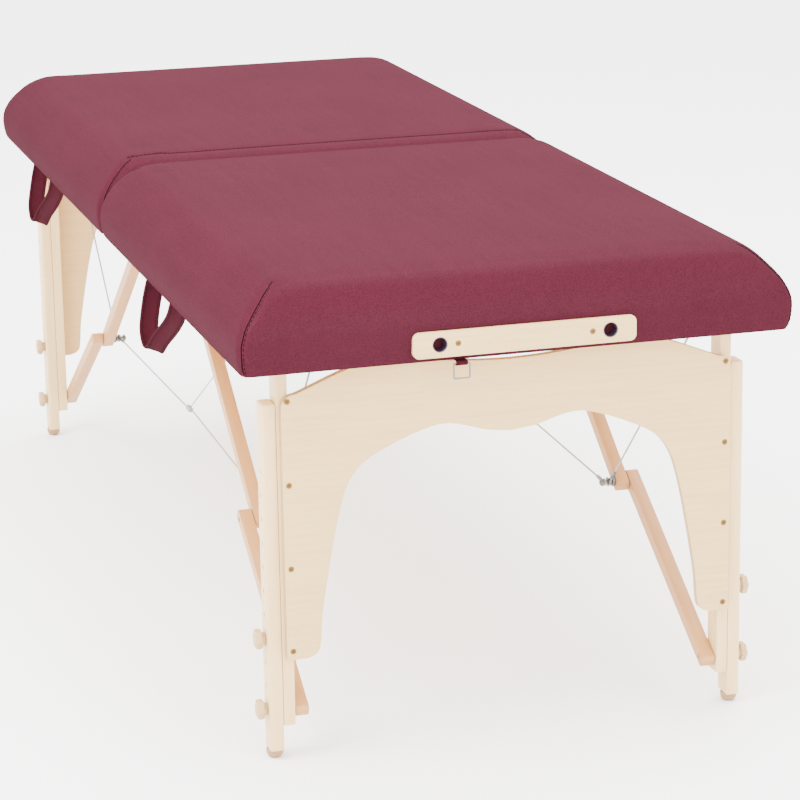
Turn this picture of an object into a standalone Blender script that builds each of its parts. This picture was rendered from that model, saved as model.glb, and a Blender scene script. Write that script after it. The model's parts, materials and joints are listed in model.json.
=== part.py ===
"""A portable massage table that folds in half like a suitcase.

Metres. X runs along the table, with the face-cradle strip at the +X end, Y across it and Z up. The
origin is on the floor under the middle. The +X half is called near and the -X half far; left is -Y
and right is +Y. Pieces are drawn for the near right corner and mirrored to the others.
"""

import math

import bmesh
import bpy
from mathutils import Matrix, Vector

# Table top
HALF_LENGTH = 0.927
HALF_WIDTH = 0.383
TOP_Z = 0.674
COVER_Z = 0.555
SEAM_X = 0.0006
SKIN = 0.0035
GAP = 0.0004
FOAM_GAP = 0.0016
ROUND_START_Z = 0.620
SIDE_ROUND = 0.052
END_ROUND = 0.045
FOLD_ROUND = 0.022
CORNER_RADIUS = (0.005, 0.032)

# Wooden frame under each half
RAIL_Z = (0.5555, 0.6190)
RAIL_THICK = 0.018
SIDE_RAIL_Y = (0.3605, 0.3785)
SIDE_RAIL_X = (0.0045, 0.9230)
DECK_Z = (0.6195, 0.6255)
DECK_INSET = 0.002
LEG_BLOCK_X = (0.823, 0.863)
LEG_BLOCK_BOTTOM = 0.5620
BRACE_BLOCK_X = (0.060, 0.100)
BRACE_BLOCK_BOTTOM = 0.5700

# Centre hinge
HINGE_Z = 0.5520
PIN_RADIUS = 0.0011
CURL_INNER = 0.0015
CURL_OUTER = 0.0025
HINGE_HALF_WIDTH = 0.350
HINGE_SEGMENTS = 10
HINGE_MIDDLE_GAP = 0.016

# Leg frames
LEG_PIVOT = (0.843, 0.585)
LEG_HALF_DEPTH = 0.017
INNER_LEG_Y = (0.3055, 0.3215)
INNER_LEG_BOTTOM = 0.048
OUTER_LEG_Y = (0.3220, 0.3410)
OUTER_LEG_Z = (0.0130, 0.4990)
OUTER_LEG_CHAMFER = 0.0045
HOLE_PITCH = 0.0335
LOWER_BOLT_Z = 0.0695
UPPER_BOLT_Z = LOWER_BOLT_Z + 3 * HOLE_PITCH
HOLE_COUNT = 11
FOOT_RADIUS = 0.013
PANEL_X = (0.860, 0.872)
PANEL_HALF_WIDTH = 0.3175
PANEL_BOTTOM = 0.145

# Braces and their cables
BRACE_PIVOT = (0.080, 0.588)
ELBOW = (0.5555, 0.247)
BRACE_SIZE = 0.019
BRACE_OVERHANG = 0.0145
BRACE_NOSE = 0.55
UPPER_BRACE_Y = (0.2655, 0.2845)
LOWER_BRACE_Y = (0.2855, 0.3045)
LONG_CABLE_Y = (0.2500, 0.2532)
STAY_CABLE_Y = 0.2585
STAY_ANCHOR = (0.894, 0.270, 0.592)
CRIMP_Z = 0.262
CABLE_RADIUS = 0.0011
CENTRE_CABLE_RADIUS = 0.0009

# Face-cradle strip, latch and handles
STRIP_X = (0.9273, 0.9360)
STRIP_Z = 0.5795
STRIP_HALF_LENGTH = 0.1545
STRIP_HALF_HEIGHT = 0.0175
SOCKET_Y = 0.118
SOCKET_RADIUS = 0.0104
RING_AXIS = (0.9305, 0.5512)
LATCH_Y = -0.087
STUD_Z = 0.571
HANDLE_CENTRE_X = (0.4215, -0.5310)
HANDLE_AXIS = (-0.3832, 0.5553)
HANDLE_Y = (-0.378, -0.358)
HANDLE_TOP = 0.5545
HANDLE_HALF_SPAN = 0.088
HANDLE_DROP = 0.112
STRAP_THICK = 0.003

# Fasteners
PIVOT_BOLT = 0.0039
PIVOT_NUT = 0.0072
PIVOT_NUT_HEIGHT = 0.0080
BOLT_TIP = 0.0020
LEG_BOLT = 0.0030
CLEAR = 0.0004
OVERLAP = 0.0010
SIDES = 12
HOLE_SIDES = 8

NEAR, FAR = 1, -1
LEFT, RIGHT = -1, 1
END_NAMES = {NEAR: "near", FAR: "far"}
SIDE_NAMES = {LEFT: "left", RIGHT: "right"}

MATERIALS = {
    "vinyl": ((0.33, 0.085, 0.125), 0.45, 0.0),
    "foam": ((0.85, 0.80, 0.62), 0.95, 0.0),
    "maple": ((0.86, 0.72, 0.52), 0.50, 0.0),
    "brace_wood": ((0.83, 0.60, 0.36), 0.50, 0.0),
    "plywood": ((0.84, 0.69, 0.48), 0.50, 0.0),
    "steel": ((0.62, 0.62, 0.63), 0.30, 1.0),
    "cable": ((0.88, 0.88, 0.87), 0.40, 0.0),
    "knob_wood": ((0.84, 0.68, 0.45), 0.45, 0.0),
    "foot": ((0.55, 0.38, 0.22), 0.60, 0.0),
}


# Shapes. Each function returns a bmesh holding one closed solid.


def box(x, y, z):
    shape = bmesh.new()
    bmesh.ops.create_cube(shape, size=1.0)
    size = Matrix.Diagonal((x[1] - x[0], y[1] - y[0], z[1] - z[0], 1.0))
    middle = Vector((x[0] + x[1], y[0] + y[1], z[0] + z[1])) / 2
    shape.transform(Matrix.Translation(middle) @ size)
    return shape


def skin_rings(rings, closed=False):
    """Rings of points joined in order, with flat caps unless the last ring meets the first."""
    shape = bmesh.new()
    loops = [[shape.verts.new(point) for point in ring] for ring in rings]
    pairs = list(zip(loops, loops[1:]))
    if closed:
        pairs.append((loops[-1], loops[0]))
    else:
        shape.faces.new(loops[0][::-1])
        shape.faces.new(loops[-1])
    count = len(loops[0])
    for lower, upper in pairs:
        for i in range(count):
            j = (i + 1) % count
            shape.faces.new((lower[i], lower[j], upper[j], upper[i]))
    return shape


def along(axis, across, height):
    """A point from its two coordinates across an axis and its height along it."""
    a, b = across
    return {"X": (height, a, b), "Y": (a, height, b), "Z": (a, b, height)}[axis]


def prism(outline, axis, low, high):
    return skin_rings([[along(axis, point, height) for point in outline] for height in (low, high)])


def circle(centre, radius, sides=SIDES, start=0.0):
    turns = [start + 2 * math.pi * i / sides for i in range(sides)]
    return [(centre[0] + radius * math.cos(t), centre[1] + radius * math.sin(t)) for t in turns]


def turned(axis, centre, profile, sides=SIDES, closed=False):
    """A solid of revolution about a line along the axis; the profile lists (radius, height)."""
    rings = []
    for radius, height in profile:
        ring = circle(centre, radius, sides, math.pi / sides)
        rings.append([along(axis, point, height) for point in ring])
    return skin_rings(rings, closed)


def rod(axis, centre, low, high, radius, sides=SIDES):
    return turned(axis, centre, [(radius, low), (radius, high)], sides)


def washer(axis, centre, low, high, inner, outer, sides=SIDES):
    profile = [(inner, low), (outer, low), (outer, high), (inner, high)]
    return turned(axis, centre, profile, sides, closed=True)


def straight_tube(start, end, radius, sides=6):
    start, end = Vector(start), Vector(end)
    shape = rod("Z", (0.0, 0.0), 0.0, (end - start).length, radius, sides)
    turn = Vector((0.0, 0.0, 1.0)).rotation_difference(end - start).to_matrix().to_4x4()
    shape.transform(Matrix.Translation(start) @ turn)
    return shape


def arc(centre, radius, start, stop, steps):
    """Points from one angle to another, in degrees."""
    angles = [math.radians(start + (stop - start) * i / steps) for i in range(steps + 1)]
    return [(centre[0] + radius * math.cos(a), centre[1] + radius * math.sin(a)) for a in angles]


def smooth(points, steps):
    """A Catmull-Rom curve through the points, ending on the last one."""
    ends = [points[0], *points, points[-1]]
    curve = []
    for p0, p1, p2, p3 in zip(ends, ends[1:], ends[2:], ends[3:]):
        for i in range(steps):
            t = i / steps
            weights = (
                (-t + 2 * t**2 - t**3) / 2,
                (2 - 5 * t**2 + 3 * t**3) / 2,
                (t + 4 * t**2 - 3 * t**3) / 2,
                (t**3 - t**2) / 2,
            )
            corners = (p0, p1, p2, p3)
            curve.append(tuple(sum(w * p[k] for w, p in zip(weights, corners)) for k in (0, 1)))
    return [*curve, points[-1]]


def mirrored(shape, end, side=RIGHT):
    copy = shape.copy()
    copy.transform(Matrix.Diagonal((end, side, 1.0, 1.0)))
    return copy


def both_sides(shape, end=NEAR):
    return [mirrored(shape, end, side) for side in (RIGHT, LEFT)]


# Scene


def clear_scene():
    for old in list(bpy.data.objects):
        bpy.data.objects.remove(old)


def make_material(name):
    colour, roughness, metallic = MATERIALS[name]
    material = bpy.data.materials.new(name)
    material.use_nodes = True
    shader = material.node_tree.nodes["Principled BSDF"]
    shader.inputs["Base Color"].default_value = (*colour, 1.0)
    shader.inputs["Roughness"].default_value = roughness
    shader.inputs["Metallic"].default_value = metallic
    return material


def make_pivot(name, place, parent=None):
    """An empty on a joint's axis, which the moving pieces hang from."""
    pivot = bpy.data.objects.new(name, None)
    pivot["place"] = place
    pivot.parent = parent
    pivot.location = Vector(place) - (Vector(parent["place"]) if parent else Vector())
    bpy.context.scene.collection.objects.link(pivot)
    return pivot


def make_mesh(name, shapes):
    merged = bmesh.new()
    for shape in shapes:
        piece = bpy.data.meshes.new("piece")
        shape.to_mesh(piece)
        merged.from_mesh(piece)
        bpy.data.meshes.remove(piece)
    bmesh.ops.recalc_face_normals(merged, faces=merged.faces)
    mesh = bpy.data.meshes.new(name)
    merged.to_mesh(mesh)
    return mesh


def make_object(name, shape, material, pivot=None):
    mesh = make_mesh(name, [shape])
    if pivot:
        mesh.transform(Matrix.Translation(-Vector(pivot["place"])))
    mesh.shade_smooth()
    mesh.set_sharp_from_angle(angle=math.radians(35))
    mesh.materials.append(bpy.data.materials.get(material) or make_material(material))
    made = bpy.data.objects.new(name, mesh)
    made.parent = pivot
    bpy.context.scene.collection.objects.link(made)
    return made


def combine(target, operation, shapes):
    """A Boolean with one tool object that holds the shapes, which don't touch each other."""
    name = f"{target.name}_tool_{len(target.modifiers)}"
    tool = bpy.data.objects.new(name, make_mesh(name, shapes))
    tool.hide_render = True
    tool.display_type = "WIRE"
    bpy.context.scene.collection.objects.link(tool)
    boolean = target.modifiers.new(name, "BOOLEAN")
    boolean.operation = operation
    boolean.solver = "EXACT"
    boolean.object = tool


# Table top


def cushion(margin, z_low):
    """The padded top with every face moved in by a margin, from z_low up.

    Its sides, end and fold edge are quarter ellipses from ROUND_START_Z to the top.
    """
    x_low, x_high = SEAM_X + margin, HALF_LENGTH - margin
    half_width, z_high = HALF_WIDTH - margin, TOP_Z - margin
    heights = [z_low]
    for step in range(5):
        height = ROUND_START_Z + (z_high - ROUND_START_Z) * math.sin(math.pi / 2 * step / 4)
        if height > z_low + 0.003:
            heights.append(height)
    rings = []
    for height in heights:
        rise = min(1.0, max(0.0, (height - ROUND_START_Z) / (z_high - ROUND_START_Z)))
        bend = 1 - math.sqrt(1 - rise**2)
        radius = CORNER_RADIUS[0] * (1 - bend) + CORNER_RADIUS[1] * bend - margin
        low = x_low + (FOLD_ROUND - margin) * bend + radius
        high = x_high - (END_ROUND - margin) * bend - radius
        wide = half_width - (SIDE_ROUND - margin) * bend - radius
        outline = [
            *arc((high, wide), radius, 0, 90, 3),
            *arc((low, wide), radius, 90, 180, 3),
            *arc((low, -wide), radius, 180, 270, 3),
            *arc((high, -wide), radius, 270, 360, 3),
        ]
        rings.append([(x, y, height) for x, y in outline])
    return skin_rings(rings)


def socket_holes():
    """Cutters along X for the two face-cradle sockets."""
    places = [(y, STRIP_Z) for y in (SOCKET_Y, -SOCKET_Y)]
    return [rod("X", place, 0.89, 0.95, SOCKET_RADIUS, 16) for place in places]


def add_top(end, pivot):
    name = END_NAMES[end]
    cover = make_object(f"{name}_cover", mirrored(cushion(0.0, COVER_Z), end), "vinyl", pivot)
    combine(cover, "DIFFERENCE", [mirrored(cushion(SKIN, COVER_Z - 0.01), end)])
    if end == NEAR:
        combine(cover, "DIFFERENCE", socket_holes())
    foam = mirrored(cushion(SKIN + FOAM_GAP, DECK_Z[1] + GAP), end)
    make_object(f"{name}_foam", foam, "foam", pivot)
    half_deck = SIDE_RAIL_Y[1] - DECK_INSET
    deck_x = (SIDE_RAIL_X[0] + DECK_INSET, SIDE_RAIL_X[1] - DECK_INSET)
    deck = box(deck_x, (-half_deck, half_deck), DECK_Z)
    make_object(f"{name}_deck", mirrored(deck, end), "plywood", pivot)


def pivot_pin(place, nut_y):
    """A bolt along Y from inside its block to the nut on its inboard end."""
    nut_end = nut_y - PIVOT_NUT_HEIGHT
    profile = [(PIVOT_BOLT, nut_end - BOLT_TIP), (PIVOT_BOLT, nut_end)]
    profile += [(PIVOT_NUT, nut_end), (PIVOT_NUT, nut_y - CLEAR)]
    profile += [(PIVOT_BOLT, nut_y - CLEAR), (PIVOT_BOLT, SIDE_RAIL_Y[0] - 0.010)]
    return turned("Y", place, profile)


def add_frame(end, pivot):
    """The glued wooden frame, with its hinge blocks and the pins that legs and braces turn on."""
    outside = (-SIDE_RAIL_Y[1], SIDE_RAIL_Y[1])
    inside = (-SIDE_RAIL_Y[0], SIDE_RAIL_Y[0])
    hollow_x = (SIDE_RAIL_X[0] + RAIL_THICK, SIDE_RAIL_X[1] - RAIL_THICK)
    solid = mirrored(box(SIDE_RAIL_X, outside, RAIL_Z), end)
    frame = make_object(f"{END_NAMES[end]}_frame", solid, "maple", pivot)
    combine(frame, "DIFFERENCE", [mirrored(box(hollow_x, inside, (0.54, 0.63)), end)])
    in_rail = SIDE_RAIL_Y[0] + OVERLAP
    leg_block = box(LEG_BLOCK_X, (OUTER_LEG_Y[0], in_rail), (LEG_BLOCK_BOTTOM, RAIL_Z[1]))
    brace_block = box(BRACE_BLOCK_X, (LOWER_BRACE_Y[0], in_rail), (BRACE_BLOCK_BOTTOM, RAIL_Z[1]))
    combine(frame, "UNION", both_sides(leg_block, end) + both_sides(brace_block, end))
    leg_pin = pivot_pin(LEG_PIVOT, INNER_LEG_Y[0])
    brace_pin = pivot_pin(BRACE_PIVOT, UPPER_BRACE_Y[0])
    combine(frame, "UNION", both_sides(leg_pin, end) + both_sides(brace_pin, end))
    if end == NEAR:
        combine(frame, "DIFFERENCE", socket_holes())


def hinge_curl(low, high):
    """A hinge knuckle rolled from the leaf's edge, with a tongue that enters the leaf."""
    outline = [(0.0080, CURL_OUTER - 0.0001), (0.0, CURL_OUTER)]
    outline += arc((0.0, 0.0), CURL_OUTER, 120, 385, 8)
    outline += arc((0.0, 0.0), CURL_INNER, 385, 120, 8)
    outline += [(0.0, CURL_INNER + 0.0001), (0.0080, CURL_INNER + 0.0001)]
    placed = [(x, z + HINGE_Z) for x, z in outline]
    return prism(placed, "Y", low, high)


def add_hinge_leaf(end, pivot):
    step = 2 * HINGE_HALF_WIDTH / HINGE_SEGMENTS
    curls = []
    for i in range(0 if end == NEAR else 1, HINGE_SEGMENTS, 2):
        low = -HINGE_HALF_WIDTH + i * step + GAP
        high = low + step - 2 * GAP
        if abs(low) < 2 * GAP:
            low = HINGE_MIDDLE_GAP
        if abs(high) < 2 * GAP:
            high = -HINGE_MIDDLE_GAP
        curls.append(mirrored(hinge_curl(low, high), end))
    leaf_z = (HINGE_Z + CURL_INNER, HINGE_Z + CURL_OUTER)
    leaf = box((0.0045, 0.0220), (-HINGE_HALF_WIDTH, HINGE_HALF_WIDTH), leaf_z)
    plate = make_object(f"{END_NAMES[end]}_hinge_leaf", mirrored(leaf, end), "steel", pivot)
    combine(plate, "UNION", curls)


def add_fold(pivot):
    """The hinge pin, and the centre cable that hangs from it in the seam plane.

    The cable makes a V: it runs from the crimp on one side, round the pin, to the other crimp.
    """
    pin = rod("Y", (0.0, HINGE_Z), -HINGE_HALF_WIDTH, HINGE_HALF_WIDTH, PIN_RADIUS, HOLE_SIDES)
    make_object("hinge_pin", pin, "steel", pivot)
    middle_y = sum(LONG_CABLE_Y) / 2
    sleeve = washer("Y", (0.0, HINGE_Z), -0.0130, 0.0130, PIN_RADIUS + CLEAR, 0.0026, 10)
    cable = make_object("centre_cable", sleeve, "cable", pivot)
    start = (0.0, middle_y - 0.0010, CRIMP_Z + 0.0012)
    run = straight_tube(start, (0.0, 0.0115, HINGE_Z - 0.0024), CENTRE_CABLE_RADIUS)
    combine(cable, "UNION", both_sides(run))
    crimp = rod("X", (middle_y, CRIMP_Z), -0.011, 0.011, 0.0042, SIDES)
    combine(cable, "UNION", both_sides(crimp))


# Leg frames


def inner_leg():
    x, z = LEG_PIVOT
    outline = [(x - LEG_HALF_DEPTH, INNER_LEG_BOTTOM), (x + LEG_HALF_DEPTH, INNER_LEG_BOTTOM)]
    outline += arc(LEG_PIVOT, LEG_HALF_DEPTH, 0, 180, 8)
    return prism(outline, "Y", *INNER_LEG_Y)


def panel_outline():
    """One half, from the middle of the top edge round to the middle of the arch."""
    corner = 0.020
    shoulder = 0.513
    top = smooth([(0.0, 0.535), (0.05, 0.537), (0.14, 0.5455), (0.21, 0.545), (0.2975, shoulder)], 2)
    side = arc((PANEL_HALF_WIDTH - corner, shoulder - corner), corner, 70, 0, 3)
    foot = [(PANEL_HALF_WIDTH, PANEL_BOTTOM), (0.291, PANEL_BOTTOM)]
    arch = [(0.270, 0.170), (0.265, 0.22), (0.243, 0.337), (0.222, 0.394)]
    arch += [(0.182, 0.425), (0.100, 0.4535), (0.035, 0.440), (0.0, 0.4355)]
    return top + side + foot + smooth(arch, 3)


def panel():
    right = panel_outline()
    left = [(-y, z) for y, z in right[-2:0:-1]]
    return prism(right + left, "X", *PANEL_X)


def add_leg_frame(end, pivot):
    name = END_NAMES[end]
    make_object(f"{name}_panel", mirrored(panel(), end), "plywood", pivot)
    for side in (LEFT, RIGHT):
        leg_name = f"{name}_{SIDE_NAMES[side]}_inner_leg"
        leg = make_object(leg_name, mirrored(inner_leg(), end, side), "maple", pivot)
        bores = [rod("Y", LEG_PIVOT, 0.29, 0.33, PIVOT_BOLT + CLEAR)]
        for height in (LOWER_BOLT_Z, UPPER_BOLT_Z):
            bores.append(rod("Y", (LEG_PIVOT[0], height), 0.29, 0.33, LEG_BOLT + CLEAR))
        combine(leg, "DIFFERENCE", [mirrored(bore, end, side) for bore in bores])


def outer_leg():
    x = LEG_PIVOT[0]
    low, high = x - LEG_HALF_DEPTH, x + LEG_HALF_DEPTH
    inside, outside = OUTER_LEG_Y
    cut = OUTER_LEG_CHAMFER
    outline = [(low, inside), (high, inside), (high, outside - cut)]
    outline += [(high - cut, outside), (low + cut, outside), (low, outside - cut)]
    return prism(outline, "Z", *OUTER_LEG_Z)


def foot():
    middle = (LEG_PIVOT[0], sum(OUTER_LEG_Y) / 2)
    top = OUTER_LEG_Z[0] - GAP
    profile = [(0.0075, 0.0), (0.0115, 0.0035), (FOOT_RADIUS, 0.0080), (FOOT_RADIUS, top)]
    return turned("Z", middle, profile)


def add_outer_leg(end, side, pivot):
    name = f"{END_NAMES[end]}_{SIDE_NAMES[side]}"
    leg = make_object(f"{name}_outer_leg", mirrored(outer_leg(), end, side), "maple", pivot)
    holes = []
    for i in range(HOLE_COUNT):
        place = (LEG_PIVOT[0], LOWER_BOLT_Z + i * HOLE_PITCH)
        holes.append(rod("Y", place, 0.31, 0.35, LEG_BOLT + 0.0007, HOLE_SIDES))
    combine(leg, "DIFFERENCE", [mirrored(hole, end, side) for hole in holes])
    make_object(f"{name}_foot", mirrored(foot(), end, side), "foot", pivot)


def knob(height, stud_tip):
    """A lobed wooden clamp knob, with the stud that runs from it through the legs."""
    face = OUTER_LEG_Y[1] + GAP
    rings = [(LEG_BOLT, stud_tip, 0.0), (LEG_BOLT, face, 0.0), (0.0075, face, 0.0)]
    rings += [(0.0075, 0.3465, 0.0), (0.0126, 0.3472, 0.0014)]
    rings += [(0.0126, 0.3540, 0.0014), (0.0110, 0.3552, 0.0012)]
    points = []
    for radius, y, lobe in rings:
        ring = []
        for i in range(SIDES):
            reach = radius + lobe * (1 if i % 2 else -1)
            turn = 2 * math.pi * i / SIDES
            x = LEG_PIVOT[0] + reach * math.cos(turn)
            ring.append((x, y, height + reach * math.sin(turn)))
        points.append(ring)
    return skin_rings(points)


# Braces


def brace(start, end, y_range):
    """A square bar past both pivots, with blunt corners at its ends."""
    start, end = Vector(start), Vector(end)
    run = (end - start).normalized()
    side = Vector((-run.y, run.x)) * BRACE_SIZE / 2
    reach = BRACE_OVERHANG - BRACE_SIZE / 2 * (1 - BRACE_NOSE)
    outline = [
        start - run * reach + side,
        start - run * BRACE_OVERHANG + side * BRACE_NOSE,
        start - run * BRACE_OVERHANG - side * BRACE_NOSE,
        start - run * reach - side,
        end + run * reach - side,
        end + run * BRACE_OVERHANG - side * BRACE_NOSE,
        end + run * BRACE_OVERHANG + side * BRACE_NOSE,
        end + run * reach + side,
    ]
    return prism([tuple(point) for point in outline], "Y", *y_range)


def elbow_bolt():
    """The elbow's bolt from the inboard tip to the bars' meeting face, with its nut and washers."""
    steps = (
        (LEG_BOLT, 0.2425, 0.2440),
        (0.0060, 0.2440, 0.2482),
        (LEG_BOLT, 0.2482, 0.2548),
        (0.0070, 0.2548, 0.2560),
        (LEG_BOLT, 0.2560, 0.2606),
        (0.0075, 0.2606, UPPER_BRACE_Y[0] - GAP),
        (LEG_BOLT, UPPER_BRACE_Y[0] - GAP, UPPER_BRACE_Y[1] - GAP),
    )
    profile = []
    for radius, low, high in steps:
        profile += [(radius, low), (radius, high)]
    return turned("Y", ELBOW, profile, 10)


def add_upper_brace(end, side, pivot):
    name = f"{END_NAMES[end]}_{SIDE_NAMES[side]}"
    bar = mirrored(brace(BRACE_PIVOT, ELBOW, UPPER_BRACE_Y), end, side)
    made = make_object(f"{name}_upper_brace", bar, "brace_wood", pivot)
    bores = [
        rod("Y", BRACE_PIVOT, 0.25, 0.30, PIVOT_BOLT + CLEAR),
        rod("Y", ELBOW, 0.25, 0.30, LEG_BOLT + CLEAR),
    ]
    combine(made, "DIFFERENCE", [mirrored(bore, end, side) for bore in bores])
    make_object(f"{name}_elbow_bolt", mirrored(elbow_bolt(), end, side), "steel", pivot)


def add_lower_brace(end, side, pivot):
    """The lower bar. Its elbow hole holds the outboard half of the elbow's bolt."""
    lower_pivot = (LEG_PIVOT[0], LOWER_BOLT_Z)
    bar = mirrored(brace(ELBOW, lower_pivot, LOWER_BRACE_Y), end, side)
    name = f"{END_NAMES[end]}_{SIDE_NAMES[side]}_lower_brace"
    made = make_object(name, bar, "brace_wood", pivot)
    bores = [rod("Y", place, 0.27, 0.32, LEG_BOLT + CLEAR) for place in (ELBOW, lower_pivot)]
    combine(made, "DIFFERENCE", [mirrored(bore, end, side) for bore in bores])


# Cables


def cable_eye(y):
    """A flat terminal round the elbow bolt."""
    return washer("Y", ELBOW, y - 0.0014, y + 0.0014, LEG_BOLT + CLEAR, 0.0062, 10)


def cable_run(start, end, trim_start, trim_end):
    """A straight cable between two points, shortened at both ends."""
    start, end = Vector(start), Vector(end)
    run = (end - start).normalized()
    return straight_tube(start + run * trim_start, end - run * trim_end, CABLE_RADIUS)


def add_long_cable(end, side, pivot):
    """The cable from the elbow bolt to the crimp under the fold."""
    y = LONG_CABLE_Y[0] if end == NEAR else LONG_CABLE_Y[1]
    run = cable_run((ELBOW[0], y, ELBOW[1]), (0.0, y, CRIMP_Z), 0.0050, 0.0120)
    name = f"{END_NAMES[end]}_{SIDE_NAMES[side]}_long_cable"
    eye_y = sum(LONG_CABLE_Y) / 2
    cable = make_object(name, mirrored(cable_eye(eye_y), end, side), "cable", pivot)
    combine(cable, "UNION", [mirrored(run, end, side)])


def add_stay_cable(end, side, pivot):
    """The cable from the elbow bolt to the end rail's inner face."""
    anchor_x, anchor_y, anchor_z = STAY_ANCHOR
    run = cable_run((ELBOW[0], STAY_CABLE_Y, ELBOW[1]), STAY_ANCHOR, 0.0050, 0.0)
    name = f"{END_NAMES[end]}_{SIDE_NAMES[side]}_stay_cable"
    cable = make_object(name, mirrored(cable_eye(STAY_CABLE_Y), end, side), "cable", pivot)
    combine(cable, "UNION", [mirrored(run, end, side)])
    profile = [(0.0060, anchor_x - 0.0025), (0.0060, anchor_x + 0.0005)]
    profile += [(0.0030, anchor_x + 0.0005), (0.0030, SIDE_RAIL_X[1] - RAIL_THICK - GAP)]
    anchor = turned("X", (anchor_y, anchor_z), profile, 10)
    combine(cable, "UNION", [mirrored(anchor, end, side)])


# Strip, latch and handles


def add_cradle_strip():
    inner = STRIP_HALF_LENGTH - STRIP_HALF_HEIGHT
    outline = arc((inner, STRIP_Z), STRIP_HALF_HEIGHT, -90, 90, 8)
    outline += arc((-inner, STRIP_Z), STRIP_HALF_HEIGHT, 90, 270, 8)
    strip = make_object("cradle_strip", prism(outline, "X", *STRIP_X), "maple")
    combine(strip, "DIFFERENCE", socket_holes())


def add_latch(ring_pivot, far_pivot):
    x, z = RING_AXIS
    half_tab = 0.0091
    wire = 0.0012
    tab_y = (LATCH_Y - half_tab, LATCH_Y + half_tab)
    tab = make_object("latch_tab", box((0.906, x), tab_y, (z + 0.0004, z + 0.0031)), "vinyl")
    combine(tab, "UNION", [rod("Y", RING_AXIS, *tab_y, 0.0032, 10)])
    bore = rod("Y", RING_AXIS, tab_y[0] - 0.01, tab_y[1] + 0.01, wire + 0.0005, 10)
    combine(tab, "DIFFERENCE", [bore])
    half_width, drop, corner = 0.0110, 0.0205, 0.0030
    path = arc((half_width - corner, -corner), corner, 90, 0, 2)
    path += arc((half_width - corner, -drop + corner), corner, 0, -90, 2)
    path += arc((-half_width + corner, -drop + corner), corner, -90, -180, 2)
    path += arc((-half_width + corner, -corner), corner, 180, 90, 2)
    make_object("latch_ring", wire_loop(path, x, z, wire), "steel", ring_pivot)
    stud = [(0.0060, 0.9273), (0.0060, 0.9288), (0.0024, 0.9288), (0.0024, 0.9325)]
    stud += [(0.0040, 0.9325), (0.0034, 0.9345)]
    shape = mirrored(turned("X", (LATCH_Y, STUD_Z), stud), FAR)
    make_object("latch_stud", shape, "steel", far_pivot)


def wire_loop(path, x, top_z, radius, sides=6):
    """A closed wire in a plane across X; the path lists (y, z) from the top wire's middle line."""
    count = len(path)
    rings = []
    for i, (y, z) in enumerate(path):
        before, after = path[i - 1], path[(i + 1) % count]
        run = (Vector(after) - Vector(before)).normalized()
        ring = []
        for k in range(sides):
            turn = 2 * math.pi * k / sides
            out = radius * math.cos(turn)
            place = (
                x + radius * math.sin(turn),
                LATCH_Y + y + run.y * out,
                top_z + z - run.x * out,
            )
            ring.append(place)
        rings.append(ring)
    return skin_rings(rings, closed=True)


def add_handle(end, pivot):
    middle = HANDLE_CENTRE_X[0] if end == NEAR else HANDLE_CENTRE_X[1]
    steps = 12
    outline = []
    for shrink, turns in ((0.0, range(steps + 1)), (STRAP_THICK, range(steps, -1, -1))):
        for i in turns:
            turn = math.pi * i / steps
            x = middle + (HANDLE_HALF_SPAN - shrink) * math.cos(turn)
            outline.append((x, HANDLE_TOP - (HANDLE_DROP - shrink) * math.sin(turn)))
    strap = prism(outline, "Y", *HANDLE_Y)
    make_object(f"{END_NAMES[end]}_handle", strap, "vinyl", pivot)


# Assembly


def add_half(end, half_pivot):
    """One half of the table with its leg frame, braces and cables."""
    name = END_NAMES[end]
    add_top(end, half_pivot)
    add_frame(end, half_pivot)
    add_hinge_leaf(end, half_pivot)
    leg_place = (end * LEG_PIVOT[0], 0.0, LEG_PIVOT[1])
    leg_pivot = make_pivot(f"{name}_leg_axis", leg_place, half_pivot)
    add_leg_frame(end, leg_pivot)
    brace_place = (end * BRACE_PIVOT[0], 0.0, BRACE_PIVOT[1])
    upper_pivot = make_pivot(f"{name}_upper_brace_axis", brace_place, half_pivot)
    lower_place = (end * LEG_PIVOT[0], 0.0, LOWER_BOLT_Z)
    lower_pivot = make_pivot(f"{name}_lower_brace_axis", lower_place, leg_pivot)
    cable_place = (end * ELBOW[0], 0.0, ELBOW[1])
    cable_pivot = make_pivot(f"{name}_cable_axis", cable_place, upper_pivot)
    for side in (LEFT, RIGHT):
        add_upper_brace(end, side, upper_pivot)
        add_lower_brace(end, side, lower_pivot)
        add_long_cable(end, side, cable_pivot)
        add_stay_cable(end, side, half_pivot)
        corner = f"{name}_{SIDE_NAMES[side]}"
        place = (end * LEG_PIVOT[0], side * OUTER_LEG_Y[0], 0.0)
        add_outer_leg(end, side, make_pivot(f"{corner}_slide", place, leg_pivot))
        studs = ("upper", UPPER_BOLT_Z, INNER_LEG_Y[0]), ("lower", LOWER_BOLT_Z, LOWER_BRACE_Y[0])
        for level, height, stud_tip in studs:
            place = (end * LEG_PIVOT[0], side * OUTER_LEG_Y[1], height)
            axis = make_pivot(f"{corner}_{level}_knob_axis", place, leg_pivot)
            shape = mirrored(knob(height, stud_tip + GAP), end, side)
            make_object(f"{corner}_{level}_knob", shape, "knob_wood", axis)
    handle_x = HANDLE_CENTRE_X[0] if end == NEAR else HANDLE_CENTRE_X[1]
    handle_place = (handle_x, *HANDLE_AXIS)
    add_handle(end, make_pivot(f"{name}_handle_axis", handle_place, half_pivot))


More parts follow.
